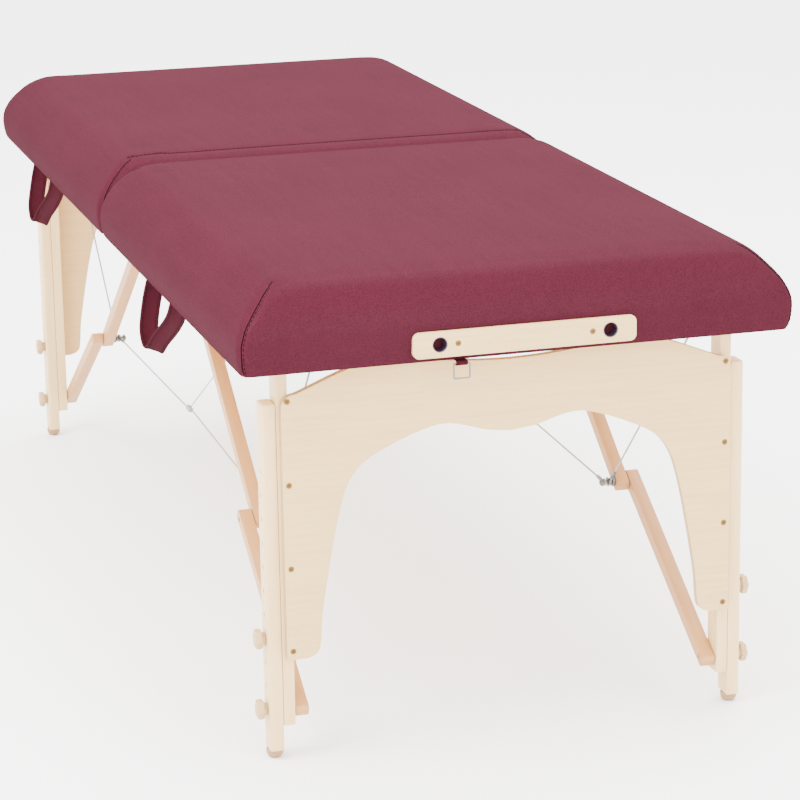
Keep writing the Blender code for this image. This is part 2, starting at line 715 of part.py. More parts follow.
def build():
    clear_scene()
    fold_pivot = make_pivot("fold_axis", (0.0, 0.0, HINGE_Z))
    far_pivot = make_pivot("far_half_axis", (0.0, 0.0, HINGE_Z), fold_pivot)
    add_half(NEAR, None)
    add_half(FAR, far_pivot)
    add_fold(fold_pivot)
    add_cradle_strip()
    ring_pivot = make_pivot("latch_ring_axis", (RING_AXIS[0], LATCH_Y, RING_AXIS[1]))
    add_latch(ring_pivot, far_pivot)


build()
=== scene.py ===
"""The looks of a portable massage table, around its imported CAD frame.

Metres, in the frame of the CAD: X along the table, Y across it, Z up. The +X half is called near
and the -X half far; left is -Y. Pieces are drawn for the near right corner and mirrored. A wooden
bar gets a frame of its own with X along its grain, so that one wood material suits them all.
"""

import json
import math

import bmesh
import bpy
import numpy as np
from mathutils import Matrix, Vector
from mathutils.bvhtree import BVHTree


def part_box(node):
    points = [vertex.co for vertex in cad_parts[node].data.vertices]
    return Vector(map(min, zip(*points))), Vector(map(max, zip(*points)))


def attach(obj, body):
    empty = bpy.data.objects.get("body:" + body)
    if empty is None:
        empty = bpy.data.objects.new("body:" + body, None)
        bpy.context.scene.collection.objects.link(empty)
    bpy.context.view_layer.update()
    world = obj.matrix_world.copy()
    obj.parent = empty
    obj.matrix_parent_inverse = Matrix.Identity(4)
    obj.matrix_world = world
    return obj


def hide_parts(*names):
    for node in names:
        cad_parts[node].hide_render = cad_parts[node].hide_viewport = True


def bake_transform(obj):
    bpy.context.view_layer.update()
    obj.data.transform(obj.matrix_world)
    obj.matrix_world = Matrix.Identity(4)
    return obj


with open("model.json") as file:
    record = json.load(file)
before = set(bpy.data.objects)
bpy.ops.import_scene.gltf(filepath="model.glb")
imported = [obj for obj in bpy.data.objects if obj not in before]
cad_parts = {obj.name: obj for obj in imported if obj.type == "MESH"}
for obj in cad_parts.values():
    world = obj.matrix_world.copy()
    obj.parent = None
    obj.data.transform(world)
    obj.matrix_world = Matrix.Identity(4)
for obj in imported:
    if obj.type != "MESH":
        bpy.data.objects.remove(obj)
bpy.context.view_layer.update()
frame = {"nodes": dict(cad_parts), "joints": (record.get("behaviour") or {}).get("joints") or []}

NEAR, FAR = 1, -1
LEFT, RIGHT = -1, 1
END_NAMES = {NEAR: "near", FAR: "far"}
SIDE_NAMES = {LEFT: "left", RIGHT: "right"}
HALF_BODY = {NEAR: "root", FAR: "far_half"}

# Places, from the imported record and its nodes
JOINTS = {joint["name"]: joint for joint in frame["joints"]}


def corner_name(end, side):
    return f"{END_NAMES[end]}_{SIDE_NAMES[side]}"


def joint_xz(name):
    x, _, z = JOINTS[name]["pos_m"]
    return x, z


LEG_PIVOT = joint_xz("near_leg_fold")
BRACE_PIVOT = joint_xz("near_upper_brace_swing")
LOWER_BOLT = joint_xz("near_lower_brace_swing")
ELBOW = joint_xz("near_long_cable_swing")
UPPER_BOLT_Z = JOINTS["near_right_upper_knob_turn"]["pos_m"][2]
HINGE_Z = JOINTS["fold_near"]["pos_m"][2]
RING_AXIS = joint_xz("latch_ring_swing")
LATCH_Y = JOINTS["latch_ring_swing"]["pos_m"][1]
COVER_LOW, COVER_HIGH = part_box("near_cover")
FRAME_LOW, FRAME_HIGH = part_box("near_frame")
PANEL_LOW, PANEL_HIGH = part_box("near_panel")
INNER_LOW, INNER_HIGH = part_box("near_right_inner_leg")
OUTER_LOW, OUTER_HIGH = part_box("near_right_outer_leg")
UPPER_LOW, UPPER_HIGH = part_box("near_right_upper_brace")
LOWER_LOW, LOWER_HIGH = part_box("near_right_lower_brace")
STRIP_LOW, STRIP_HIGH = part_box("cradle_strip")
STRIP_Z = (STRIP_LOW.z + STRIP_HIGH.z) / 2

# Sizes that the boxes don't give
RAIL_INSIDE = 0.3585
RAIL_THICK = 0.018
LEDGE = ((0.3440, 0.6085), (RAIL_INSIDE, 0.6045))
DECK_LOW, DECK_TOP = 0.6187, 0.6247
DECK_HALF_WIDTH = 0.349
DECK_END = 0.912
BRACE_SIZE = 0.019
BRACE_OVERHANG = 0.0145
PIVOT_BOLT = 0.0039
LEG_BOLT = 0.0030
BOLT_PLAY = 0.0004
HOLE_PITCH = 0.0335
HOLE_COUNT = 11
CABLE_RADIUS = 0.0014
EYE_RADIUS = 0.0046
EYE_NECK = 0.0136
SLEEVE = 0.016
LONG_CABLE_Y = {NEAR: 0.2500, FAR: 0.2532}
STAY_CABLE_Y = 0.2585
STAY_ANCHOR = (0.894, 0.270, 0.592)
CRIMP_Z = 0.262
SOCKET_Y = 0.118
SOCKET_RADIUS = 0.0104
SOCKET_FLOOR = 0.906
STRIP_SCREW_Y = 0.093
HINGE_SCREW_X = 0.015
HINGE_SCREW_PITCH = 0.060
PANEL_SCREW_Y = 0.309
PANEL_SCREW_Z = (0.504, 0.389, 0.273, 0.157)
PANEL_CORNER = 0.020
PANEL_SHOULDER = 0.513

# The padded top. A curve is how deep a shoulder is, where it starts and its power.
START_SHRINK = 0.0020
SKIRT = 0.0030
HOLLOW_CORNER = 0.016
BULGE = 0.0065
BULGE_TOP = 0.645
VOXEL = 0.0075
PIN_HEIGHT = 0.012
SWELL_CAP = 0.0030
SIM_FRAMES = 20
CROWN = 0.0030
CUSHION_TOP = COVER_HIGH.z - CROWN
SIDE_CURVE = (0.062, 0.580, 1.75)
END_CURVE = (0.044, 0.590, 1.9)
FOLD_CURVE = (0.024, 0.638, 1.8)
FOLD_SEAM_X = 0.046
FOLD_SEAM_REACH = 0.330

# Seams: how deep and wide they draw the surface in, and how far threads stand off it
SEAM_DEPTH, SEAM_WIDTH = 0.0014, 0.0065
THREAD_GAP = 0.0002

# Threads: how long a stitch is, the gap to the next one and the thread's radius
SEAM_STITCH = (0.0042, 0.0024, 0.00035)
STRAP_STITCH = (0.0034, 0.0018, 0.0004)


# Shapes: a shape is a list of vertices and a list of faces


def join(*shapes):
    verts, faces = [], []
    for some_verts, some_faces in shapes:
        base = len(verts)
        verts += [tuple(v) for v in some_verts]
        faces += [tuple(i + base for i in face) for face in some_faces]
    return verts, faces


def skin(rings, closed=False, caps=True):
    """Faces between rings of equal length; the last ring meets the first where closed."""
    count = len(rings[0])
    verts = [tuple(v) for ring in rings for v in ring]
    faces = []
    pairs = len(rings) if closed else len(rings) - 1
    for i in range(pairs):
        j = (i + 1) % len(rings)
        for k in range(count):
            n = (k + 1) % count
            faces.append((i * count + k, i * count + n, j * count + n, j * count + k))
    if caps and not closed:
        faces.append(tuple(range(count)))
        faces.append(tuple(range(len(verts) - count, len(verts))))
    return verts, faces


def prism(outline, low, high, axis=2):
    """A flat outline in two axes, drawn out along the third, from low to high."""
    return skin([[(*point[:axis], level, *point[axis:]) for point in outline] for level in (low, high)])


def box(low, high):
    ring = [(low[0], low[1]), (high[0], low[1]), (high[0], high[1]), (low[0], high[1])]
    return prism(ring, low[2], high[2])


def lathe(profile, centre=(0.0, 0.0, 0.0), turn=None, segments=32, lobes=None):
    """A profile of (radius, height) turned about Z, then turned by a matrix and moved."""
    rings = []
    for radius, height in profile:
        ring = []
        for k in range(segments):
            angle = 2 * math.pi * k / segments
            r = radius * (1 + lobes[1] * math.cos(lobes[0] * angle)) if lobes else radius
            point = Vector((r * math.cos(angle), r * math.sin(angle), height))
            ring.append((turn @ point if turn else point) + Vector(centre))
        rings.append(ring)
    return skin(rings)


TO_X = Matrix.Rotation(math.pi / 2, 3, "Y")
TO_Y = Matrix.Rotation(-math.pi / 2, 3, "X")


def smooth_line(points, steps):
    """Points along a Catmull-Rom curve through the given ones."""
    knots = [Vector(p) for p in points]
    ends = [2 * knots[0] - knots[1], *knots, 2 * knots[-1] - knots[-2]]
    line = []
    for i in range(len(knots) - 1):
        a, b, c, d = ends[i : i + 4]
        for step in range(steps):
            t = step / steps
            line.append(
                0.5 * (2 * b + (c - a) * t + (2 * a - 5 * b + 4 * c - d) * t**2)
                + 0.5 * (3 * b - a - 3 * c + d) * t**3
            )
    return line + [knots[-1]]


def sweep(line, section, across=None, closed=False, caps=True):
    """A section of (side, up) points along a line; across gives the side direction."""
    line = [Vector(p) for p in line]
    rings, side = [], None
    for i, point in enumerate(line):
        before = line[i - 1] if i or closed else point
        after = line[(i + 1) % len(line)] if i + 1 < len(line) or closed else point
        run = (after - before).normalized()
        if across:
            side = Vector(across[i] if isinstance(across, list) else across)
        elif side is None:
            side = run.orthogonal()
        side = (side - run * side.dot(run)).normalized()
        up = run.cross(side)
        rings.append([point + side * s + up * u for s, u in section])
    return skin(rings, closed, caps)


def arc(centre, radius, start, end, steps):
    """Points on a circle in a plane, from one angle to another in degrees."""
    angles = [math.radians(start + (end - start) * i / steps) for i in range(steps + 1)]
    return [(centre[0] + radius * math.cos(a), centre[1] + radius * math.sin(a)) for a in angles]


def circle(radius, count=10):
    return arc((0, 0), radius, 0, 360, count)[:-1]


def run_at(line, i):
    """The direction of an open line at one of its points."""
    return (line[min(i + 1, len(line) - 1)] - line[max(i - 1, 0)]).normalized()


def rounded(low, high, radius, steps=4):
    """The outline of a rectangle with round corners, from its (x, y) corners."""
    outline = []
    for sx, sy, start in ((1, -1, -90), (1, 1, 0), (-1, 1, 90), (-1, -1, 180)):
        centre = (
            (high[0] - radius) if sx > 0 else (low[0] + radius),
            (high[1] - radius) if sy > 0 else (low[1] + radius),
        )
        outline += arc(centre, radius, start, start + 90, steps)
    return outline


def moved(shape, end=NEAR, side=RIGHT, offset=(0.0, 0.0, 0.0)):
    """A shape of the near right corner, mirrored to another corner."""
    verts, faces = shape
    placed = [((x + offset[0]) * end, (y + offset[1]) * side, z + offset[2]) for x, y, z in verts]
    return placed, faces


# Meshes and pieces


def to_mesh(name, shape, bevel=0.0, segments=2):
    mesh = bpy.data.meshes.new(name)
    mesh.from_pydata([tuple(v) for v in shape[0]], [], shape[1])
    bm = bmesh.new()
    bm.from_mesh(mesh)
    bmesh.ops.recalc_face_normals(bm, faces=bm.faces)
    if bevel:
        sharp = [e for e in bm.edges if e.is_manifold and e.calc_face_angle() > 0.5]
        size = dict(offset=bevel, segments=segments, profile=0.6, clamp_overlap=True)
        bmesh.ops.bevel(bm, geom=sharp, affect="EDGES", **size)
    bm.to_mesh(mesh)
    bm.free()
    return mesh


def paint(made, material):
    made.data.materials.clear()
    made.data.materials.append(material)


def shade(mesh, degrees=32):
    mesh.shade_smooth()
    mesh.set_sharp_from_angle(angle=math.radians(degrees))


def link(name, mesh):
    made = bpy.data.objects.new(name, mesh)
    bpy.context.scene.collection.objects.link(made)
    return made


def applied(made):
    """Puts the result of an object's modifiers in its mesh."""
    graph = bpy.context.evaluated_depsgraph_get()
    graph.update()
    mesh = bpy.data.meshes.new_from_object(made.evaluated_get(graph))
    made.modifiers.clear()
    made.data = mesh


def cut(made, shapes):
    """Takes closed shapes out of an object."""
    tool = link(made.name + "_tool", to_mesh("tool", join(*shapes)))
    boolean = made.modifiers.new("cut", "BOOLEAN")
    boolean.operation = "DIFFERENCE"
    boolean.solver = "EXACT"
    boolean.object = tool
    applied(made)
    bpy.data.objects.remove(tool)


def piece(name, shape, material, body, replaces=(), bevel=0.0, segments=2, cuts=(), place=None):
    """One finished piece: its mesh, its material and the body that it rides on.

    The shape and its cuts are in the row's frame; a place gives the piece a frame of its own.
    """
    if place is not None:
        shape = into(place, shape)
        cuts = [into(place, tool) for tool in cuts]
    made = link(name, to_mesh(name, shape, bevel, segments))
    if cuts:
        cut(made, cuts)
    shade(made.data)
    paint(made, material)
    if place is not None:
        made.matrix_world = place
    return settle(made, body, replaces)


def settle(made, body, replaces=()):
    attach(made, body)
    if replaces:
        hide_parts(*replaces)
    return made


GRAIN_STEP = 0.173


def along_grain(start, run, up, seed):
    """A frame with X along run and Z near up, whose origin is moved aside to give each bar other wood."""
    x = Vector(run).normalized()
    z = (Vector(up) - x * Vector(up).dot(x)).normalized()
    y = z.cross(x)
    place = Matrix((x, y, z)).transposed().to_4x4()
    place.translation = Vector(start)
    return place @ Matrix.Translation((0.0, GRAIN_STEP * seed, 0.0))


def into(place, shape):
    """A shape of the row frame, in the frame of a placed piece."""
    back = place.inverted()
    return [tuple(back @ Vector(v)) for v in shape[0]], shape[1]


# Materials


class Nodes:
    """A material's node tree, with short calls to add to it."""

    def __init__(self, name, roughness=0.5, **settings):
        self.material = bpy.data.materials.new(name)
        self.material.use_nodes = True
        self.tree = self.material.node_tree
        self.shader = self.tree.nodes["Principled BSDF"]
        self.set(self.shader, Roughness=roughness, **settings)

    def plug(self, socket, value):
        if isinstance(value, bpy.types.NodeSocket):
            self.tree.links.new(value, socket)
        else:
            socket.default_value = (*value, 1.0) if socket.type == "RGBA" else value

    def set(self, node, **values):
        for key, value in values.items():
            self.plug(node.inputs[key.replace("_", " ")], value)

    def add(self, kind, values=None, **settings):
        node = self.tree.nodes.new("ShaderNode" + kind)
        for key, value in settings.items():
            setattr(node, key, value)
        self.set(node, **(values or {}))
        return node

    def object_space(self, scale=(1.0, 1.0, 1.0)):
        source = self.add("TexCoord").outputs["Object"]
        return self.add("Mapping", {"Vector": source, "Scale": scale}).outputs["Vector"]

    def noise(self, vector, scale, detail=4.0, roughness=0.55, distortion=0.0):
        values = dict(Vector=vector, Scale=scale, Detail=detail, Roughness=roughness, Distortion=distortion)
        return self.add("TexNoise", values).outputs["Fac"]

    def wave(self, vector, scale, direction, distortion=0.0, **more):
        values = dict(Vector=vector, Scale=scale, Distortion=distortion, **more)
        return self.add("TexWave", values, bands_direction=direction).outputs["Fac"]

    def ramp(self, factor, stops):
        node = self.add("ValToRGB", {"Fac": factor})
        elements = node.color_ramp.elements
        while len(elements) < len(stops):
            elements.new(0.5)
        for element, (place, colour) in zip(elements, stops):
            element.position = place
            element.color = (*colour, 1.0)
        return node.outputs["Color"]

    def mix(self, factor, first, second, blend="MIX"):
        node = self.add("Mix", data_type="RGBA", blend_type=blend)
        for number, value in ((0, factor), (6, first), (7, second)):
            self.plug(node.inputs[number], value)
        return node.outputs[2]

    def math(self, operation, first, second=0.0):
        node = self.add("Math", operation=operation)
        self.plug(node.inputs[0], first)
        self.plug(node.inputs[1], second)
        return node.outputs[0]

    def span(self, value, low, high):
        values = {"Value": value, "To_Min": low, "To_Max": high}
        return self.add("MapRange", values).outputs["Result"]

    def bump(self, height, strength, distance, normal=None):
        values = dict(Height=height, Strength=strength, Distance=distance)
        if normal is not None:
            values["Normal"] = normal
        return self.add("Bump", values).outputs["Normal"]

    def finish(self, colour=None, roughness=None, normal=None):
        if colour is not None:
            self.set(self.shader, Base_Color=colour)
        if roughness is not None:
            self.set(self.shader, Roughness=roughness)
        if normal is not None:
            self.set(self.shader, Normal=normal)
        return self.material


def scaled(colour, factor):
    return tuple(c * factor for c in colour)


def vinyl_material(name, colour):
    n = Nodes(name, Specular_IOR_Level=0.0, Coat_Weight=0.03, Coat_Roughness=0.32)
    space = n.object_space()
    streaks = n.noise(n.object_space((2.2, 26.0, 26.0)), 3.0, 5.0, 0.6, 0.4)
    cloud = n.noise(space, 5.5, 3.0, 0.5)
    grain = n.noise(space, 620.0, 2.0, 0.6)
    pits = n.add("TexVoronoi", {"Vector": space, "Scale": 480.0}, feature="F1").outputs["Distance"]
    colour_cloud = n.ramp(cloud, [(0.30, scaled(colour, 0.93)), (0.70, scaled(colour, 1.07))])
    streaked = n.mix(n.span(streaks, 0.0, 0.7), colour_cloud, scaled(colour, 1.35))
    speckle = n.ramp(grain, [(0.36, (0.70, 0.70, 0.70)), (0.62, (1.18, 1.18, 1.18))])
    base = n.mix(0.75, streaked, speckle, "MULTIPLY")
    roughness = n.math("ADD", n.span(grain, 0.36, 0.52), n.span(streaks, -0.05, 0.06))
    soft = n.bump(streaks, 0.18, 0.004)
    pitted = n.bump(n.math("MULTIPLY", pits, grain), 0.55, 0.0009, soft)
    return n.finish(base, roughness, pitted)


def webbing_material(name, colour):
    n = Nodes(name, 0.72, Specular_IOR_Level=0.02)
    space = n.object_space()
    weave = n.wave(space, 210.0, "DIAGONAL", 1.2)
    cloth = n.math("MULTIPLY", weave, n.wave(space, 260.0, "Z", 0.8))
    wear = n.noise(space, 40.0, 5.0, 0.6)
    base = n.mix(n.span(cloth, 0.0, 0.8), scaled(colour, 0.72), scaled(colour, 1.15))
    worn = n.mix(n.span(wear, 0.0, 0.35), base, scaled(colour, 1.5))
    return n.finish(worn, n.span(wear, 0.62, 0.85), n.bump(cloth, 0.5, 0.0008))


def thread_material(name, colour):
    n = Nodes(name, 0.6, Specular_IOR_Level=0.02)
    twist = n.wave(n.object_space(), 900.0, "DIAGONAL")
    base = n.mix(twist, scaled(colour, 0.6), colour)
    return n.finish(base, None, n.bump(twist, 0.5, 0.0003))


def wood_material(name, light, dark, coat=0.08, figure=1.0):
    """Maple with its grain along the object's X: growth lines, fine pores and a satin lacquer."""
    n = Nodes(name, Coat_Weight=coat, Coat_Roughness=0.3, Specular_IOR_Level=0.2)
    broad = n.object_space((1.0, 11.0, 11.0))
    sway = n.noise(n.object_space((0.9, 3.0, 3.0)), 3.2, 3.0, 0.5)
    detail = dict(Detail=3.0, Detail_Scale=1.4, Detail_Roughness=0.6)
    lines = n.wave(n.object_space((0.55, 9.0, 9.0)), 3.6, "Y", 6.5, **detail)
    flame = n.noise(broad, 7.0, 6.0, 0.62, 0.6)
    pores = n.noise(n.object_space((30.0, 900.0, 900.0)), 1.4, 3.0, 0.6)
    middle = tuple((a + b) / 2 for a, b in zip(light, dark))
    soft = tuple(0.7 * a + 0.3 * b for a, b in zip(light, middle))
    growth = n.ramp(lines, [(0.0, light), (0.55, light), (1.0, soft)])
    tinted = n.mix(n.span(flame, 0.0, 0.9 * figure), growth, dark)
    swayed = n.mix(n.span(sway, 0.0, 0.45), tinted, light)
    fine = n.ramp(pores, [(0.30, (0.86, 0.83, 0.79)), (0.50, (1.0, 1.0, 1.0))])
    base = n.mix(0.6, swayed, fine, "MULTIPLY")
    normal = n.bump(pores, 0.16, 0.0004, n.bump(flame, 0.05, 0.0010))
    return n.finish(base, n.span(flame, 0.34, 0.50), normal)


def ply_edge_material(name, light, dark):
    """The cut edge of plywood, with its plies across the object's Z."""
    n = Nodes(name, 0.55)
    plies = n.wave(n.object_space(), 66.0, "Z", 0.25)
    fibre = n.noise(n.object_space((60.0, 60.0, 500.0)), 2.0, 3.0)
    base = n.ramp(plies, [(0.35, dark), (0.5, light), (0.9, scaled(light, 1.05))])
    rough = n.mix(n.span(fibre, 0.0, 0.5), base, scaled(dark, 0.8))
    return n.finish(rough, n.span(fibre, 0.45, 0.7), n.bump(fibre, 0.2, 0.0004))


def metal_material(name, colour, low, high, scratch=(400.0, 40.0, 40.0)):
    n = Nodes(name, Metallic=1.0)
    brushed = n.noise(n.object_space(scratch), 3.0, 4.0, 0.6)
    stain = n.noise(n.object_space(), 60.0, 3.0)
    base = n.mix(n.span(stain, 0.0, 0.5), colour, scaled(colour, 0.7))
    return n.finish(base, n.span(brushed, low, high), n.bump(brushed, 0.12, 0.0002))


def plastic_material(name, colour, low, high, scale=300.0, **settings):
    n = Nodes(name, **settings)
    mottle = n.noise(n.object_space(), scale, 3.0, 0.6)
    cloud = n.noise(n.object_space(), scale / 12, 2.0)
    base = n.mix(n.span(cloud, 0.0, 0.6), colour, scaled(colour, 0.82))
    return n.finish(base, n.span(mottle, low, high), n.bump(mottle, 0.25, 0.0004))


BURGUNDY = (0.0345, 0.0060, 0.0108)
WEB_RED = (0.034, 0.0052, 0.0095)
PALE_MAPLE = (0.760, 0.550, 0.280)
WARM_MAPLE = (0.500, 0.300, 0.110)
PALE_BRACE = (0.480, 0.250, 0.100)
WARM_BRACE = (0.360, 0.160, 0.050)
VENEER = (0.640, 0.440, 0.200)
WARM_VENEER = (0.430, 0.235, 0.075)

VINYL = vinyl_material("burgundy_vinyl", BURGUNDY)
# The welts' vinyl is 1.25 times lighter than the top's: a painted highlight on the puffed edges beside each
# seam.
WELT_HIGHLIGHT = vinyl_material("vinyl_welt", scaled(BURGUNDY, 1.25))
WEBBING = webbing_material("burgundy_webbing", WEB_RED)
THREAD = thread_material("burgundy_thread", (0.0060, 0.0010, 0.0018))
MAPLE = wood_material("maple", PALE_MAPLE, WARM_MAPLE)
BRACE_WOOD = wood_material("brace_maple", PALE_BRACE, WARM_BRACE)
PANEL_WOOD = wood_material("panel_veneer", VENEER, WARM_VENEER, 0.08, 0.8)
KNOB_WOOD = wood_material("knob_maple", (0.500, 0.340, 0.170), (0.340, 0.200, 0.080))
PLY_EDGE = ply_edge_material("ply_edge", VENEER, (0.260, 0.150, 0.075))
BRASS = metal_material("brass", (0.170, 0.090, 0.022), 0.20, 0.38)
STEEL = metal_material("zinc_steel", (0.170, 0.170, 0.175), 0.22, 0.42)
COATING = plastic_material("cable_coating", (0.260, 0.260, 0.255), 0.30, 0.45, 900.0)
SOCKET = plastic_material("socket_liner", (0.030, 0.018, 0.036), 0.30, 0.50)
FOOT = plastic_material("foot_plastic", (0.300, 0.170, 0.070), 0.34, 0.50)
# Near black for the screws' cross slots: painted shade in their recesses.
RECESS_SHADE = plastic_material("recess", (0.012, 0.007, 0.004), 0.60, 0.80)


# The padded top


def inset(curve, height, top):
    """How far a rounded face stands back from the side at a height."""
    depth, start, power = curve
    rise = min(1.0, max(0.0, (height - start) / (top - start)))
    return depth * (1 - (1 - rise**power) ** (1 / power))


def bulge(height):
    """How far the foam pushes a side out between its stapled edge and its shoulder."""
    rise = (height - COVER_LOW.z) / (BULGE_TOP - COVER_LOW.z)
    return BULGE * math.sin(math.pi * min(1.0, max(0.0, rise)))


def cushion_ring(height, top, shrink, corner=0.006, out=0.0):
    """A closed line round the near half at a height, set in by shrink and pushed out by out."""
    x_low = COVER_LOW.x + min(shrink, 0.0006) + inset(FOLD_CURVE, height, top)
    x_high = COVER_HIGH.x - shrink - inset(END_CURVE, height, top) + out
    wide = COVER_HIGH.y - shrink - inset(SIDE_CURVE, height, top) + out
    rise = (height - COVER_LOW.z) / (top - COVER_LOW.z)
    radius = corner + 0.034 * max(0.0, rise) ** 2
    return [(x, y, height) for x, y in rounded((x_low, -wide), (x_high, wide), radius, 12)]


def cushion_shape(shrink):
    """The upholstered half as a closed form, which runs past its lower edge for a clean cut later."""
    base, top = COVER_LOW.z, CUSHION_TOP
    rings = [cushion_ring(base, top, shrink)]
    rings.insert(0, [(x, y, base - 0.007) for x, y, _ in rings[0]])
    count = 18
    for i in range(1, count + 1):
        height = base + (top - base) * math.sin(math.pi / 2 * i / count)
        less = shrink * i / count
        rings.append(cushion_ring(height - less, top - less, shrink, out=bulge(height)))
    rim = cushion_ring(top - shrink, top - shrink, shrink)
    middle = (COVER_LOW.x + COVER_HIGH.x) / 2
    for share in (0.10, 0.22, 0.36, 0.52, 0.70, 0.86):
        lift = CROWN * (1 - (1 - share) ** 2)
        rings.append([(middle + (x - middle) * (1 - share), y * (1 - share), z + lift) for x, y, z in rim])
    return skin(rings)


def hollow_shape():
    """What is cut out of the cushion: the room for the frame and deck, and all below the edge."""
    base = COVER_LOW.z + 0.0002
    shrink = START_SHRINK + SKIRT
    heights = (base, 0.575, 0.590, 0.605, DECK_LOW, DECK_TOP)
    rings = [cushion_ring(z, CUSHION_TOP, shrink, HOLLOW_CORNER) for z in heights]
    rings = [[(max(x, COVER_LOW.x + shrink), y, z) for x, y, z in ring] for ring in rings]
    wide = cushion_ring(base, CUSHION_TOP, -0.030)
    return skin([[(x, y, base - 0.030) for x, y, _ in wide], wide, *rings])


def swell(made):
    """Blows the cushion up a little with a cloth simulation, held along its stapled lower edge."""
    rest = np.array([v.co for v in made.data.vertices])
    outward = np.array([v.normal for v in made.data.vertices])
    held = made.vertex_groups.new(name="stapled")
    low = rest[:, 2].min() + PIN_HEIGHT
    held.add([i for i, z in enumerate(rest[:, 2]) if z < low], 1.0, "REPLACE")
    cloth = made.modifiers.new("cloth", "CLOTH")
    settings = cloth.settings
    settings.vertex_group_mass = "stapled"
    settings.use_pressure = True
    settings.uniform_pressure_force = 4.0
    settings.effector_weights.gravity = 0.0
    settings.quality = 4
    settings.mass = 0.35
    settings.tension_stiffness = 22.0
    settings.compression_stiffness = 22.0
    settings.shear_stiffness = 10.0
    settings.bending_stiffness = 1.5
    cloth.point_cache.frame_start = 1
    cloth.point_cache.frame_end = SIM_FRAMES
    for number in range(1, SIM_FRAMES + 1):
        bpy.context.scene.frame_set(number)
    graph = bpy.context.evaluated_depsgraph_get()
    blown = np.array([v.co for v in made.evaluated_get(graph).data.vertices])
    made.modifiers.remove(cloth)
    bpy.context.scene.frame_set(1)
    step = blown - rest
    inward = np.minimum((step * outward).sum(axis=1, keepdims=True), 0.0)
    step -= outward * inward
    length = np.linalg.norm(step, axis=1, keepdims=True) + 1e-9
    capped = SWELL_CAP * np.tanh(length / SWELL_CAP)
    for vertex, place in zip(made.data.vertices, rest + step / length * capped):
        vertex.co = place


def remesh_and_swell(made):
    remesh = made.modifiers.new("remesh", "REMESH")
    remesh.mode = "VOXEL"
    remesh.voxel_size = VOXEL
    applied(made)
    swell(made)
    relax = made.modifiers.new("relax", "SMOOTH")
    relax.factor = 0.5
    relax.iterations = 4
    finer = made.modifiers.new("finer", "SUBSURF")
    finer.levels = 1
    applied(made)


def socket_bores(radius, x_low, x_high, segments=32):
    """Closed cylinders along the two sockets of the cradle strip, for cutting."""
    bore = [(radius, x_low), (radius, x_high)]
    return [lathe(bore, (0, y, STRIP_Z), TO_X, segments) for y in (-SOCKET_Y, SOCKET_Y)]


def open_below(made, end):
    """Opens the cushion from below, and at the near end for the two sockets."""
    tools = [moved(hollow_shape(), end)]
    if end == NEAR:
        tools += socket_bores(SOCKET_RADIUS + 0.0004, 0.912, 0.960)
    cut(made, tools)


def corner_seam(x_sign):
    """Points up a corner of the near right side, from its lower edge to the top."""
    if x_sign > 0:
        x, y = COVER_HIGH.x, COVER_HIGH.y
        back = (0.0, 0.001, 0.006, 0.014, 0.026, 0.040, 0.056)
    else:
        x, y = COVER_LOW.x, COVER_HIGH.y
        back = (0.0, 0.001, 0.004, 0.009, 0.016, 0.025, 0.036)
    heights = (0.556, 0.585, 0.610, 0.635, 0.655, 0.667, 0.674)
    across = (0.0, 0.001, 0.007, 0.017, 0.030, 0.043, 0.056)
    return [(x - x_sign * b, y - a, z) for b, a, z in zip(back, across, heights)]


def seam_lines(end):
    """Every seam of one half, as rough lines near its surface."""
    lines = []
    for side in (LEFT, RIGHT):
        for x_sign in (1, -1):
            points = [(x * end, y * side, z) for x, y, z in corner_seam(x_sign)]
            lines.append(("dart", smooth_line(points, 10)))
    if end == FAR:
        ys = np.linspace(-FOLD_SEAM_REACH, FOLD_SEAM_REACH, 90)
        lines.append(("topstitch", [Vector((-FOLD_SEAM_X, y, 0.68)) for y in ys]))
    return lines


def onto(tree, line):
    """The nearest places on a surface, with its normals there."""
    found = []
    for point in line:
        place, normal, _, _ = tree.find_nearest(point)
        found.append((place, normal))
    return found


def press_seams(mesh, lines, depth, width):
    """Draws the surface in along its seams, as the thread does."""
    places = np.array([v.co for v in mesh.vertices])
    normals = np.array([v.normal for v in mesh.vertices])
    for found in lines:
        marks = np.array([place for place, _ in found])
        low, high = marks.min(0) - 4 * width, marks.max(0) + 4 * width
        near = np.where(((places > low) & (places < high)).all(1))[0]
        apart = np.linalg.norm(places[near][:, None] - marks[None], axis=2).min(1)
        places[near] -= normals[near] * (depth * np.exp(-((apart / width) ** 2)))[:, None]
    mesh.vertices.foreach_set("co", places.ravel())
    mesh.update()


def stitches(found, side_shift, size):
    """A row of short threads beside a seam, just clear of its surface."""
    length, gap, radius = size
    places = [place for place, _ in found]
    travelled = [0.0]
    for a, b in zip(places, places[1:]):
        travelled.append(travelled[-1] + (b - a).length)
    made = []
    start = 0.0

    def at(distance):
        i = int(np.searchsorted(travelled, distance)) or 1
        i = min(i, len(places) - 1)
        share = (distance - travelled[i - 1]) / max(travelled[i] - travelled[i - 1], 1e-9)
        point = places[i - 1].lerp(places[i], share)
        normal = found[i - 1][1].lerp(found[i][1], share).normalized()
        run = (places[i] - places[i - 1]).normalized()
        return point + run.cross(normal) * side_shift + normal * THREAD_GAP, normal

    while start + length < travelled[-1]:
        (a, na), (m, nm), (b, nb) = (at(start + length * t) for t in (0.0, 0.5, 1.0))
        bow = [a - na * radius, m + nm * radius * 0.6, b - nb * radius]
        made.append(sweep(bow, circle(radius, 5)))
        start += length + gap
    return join(*made)


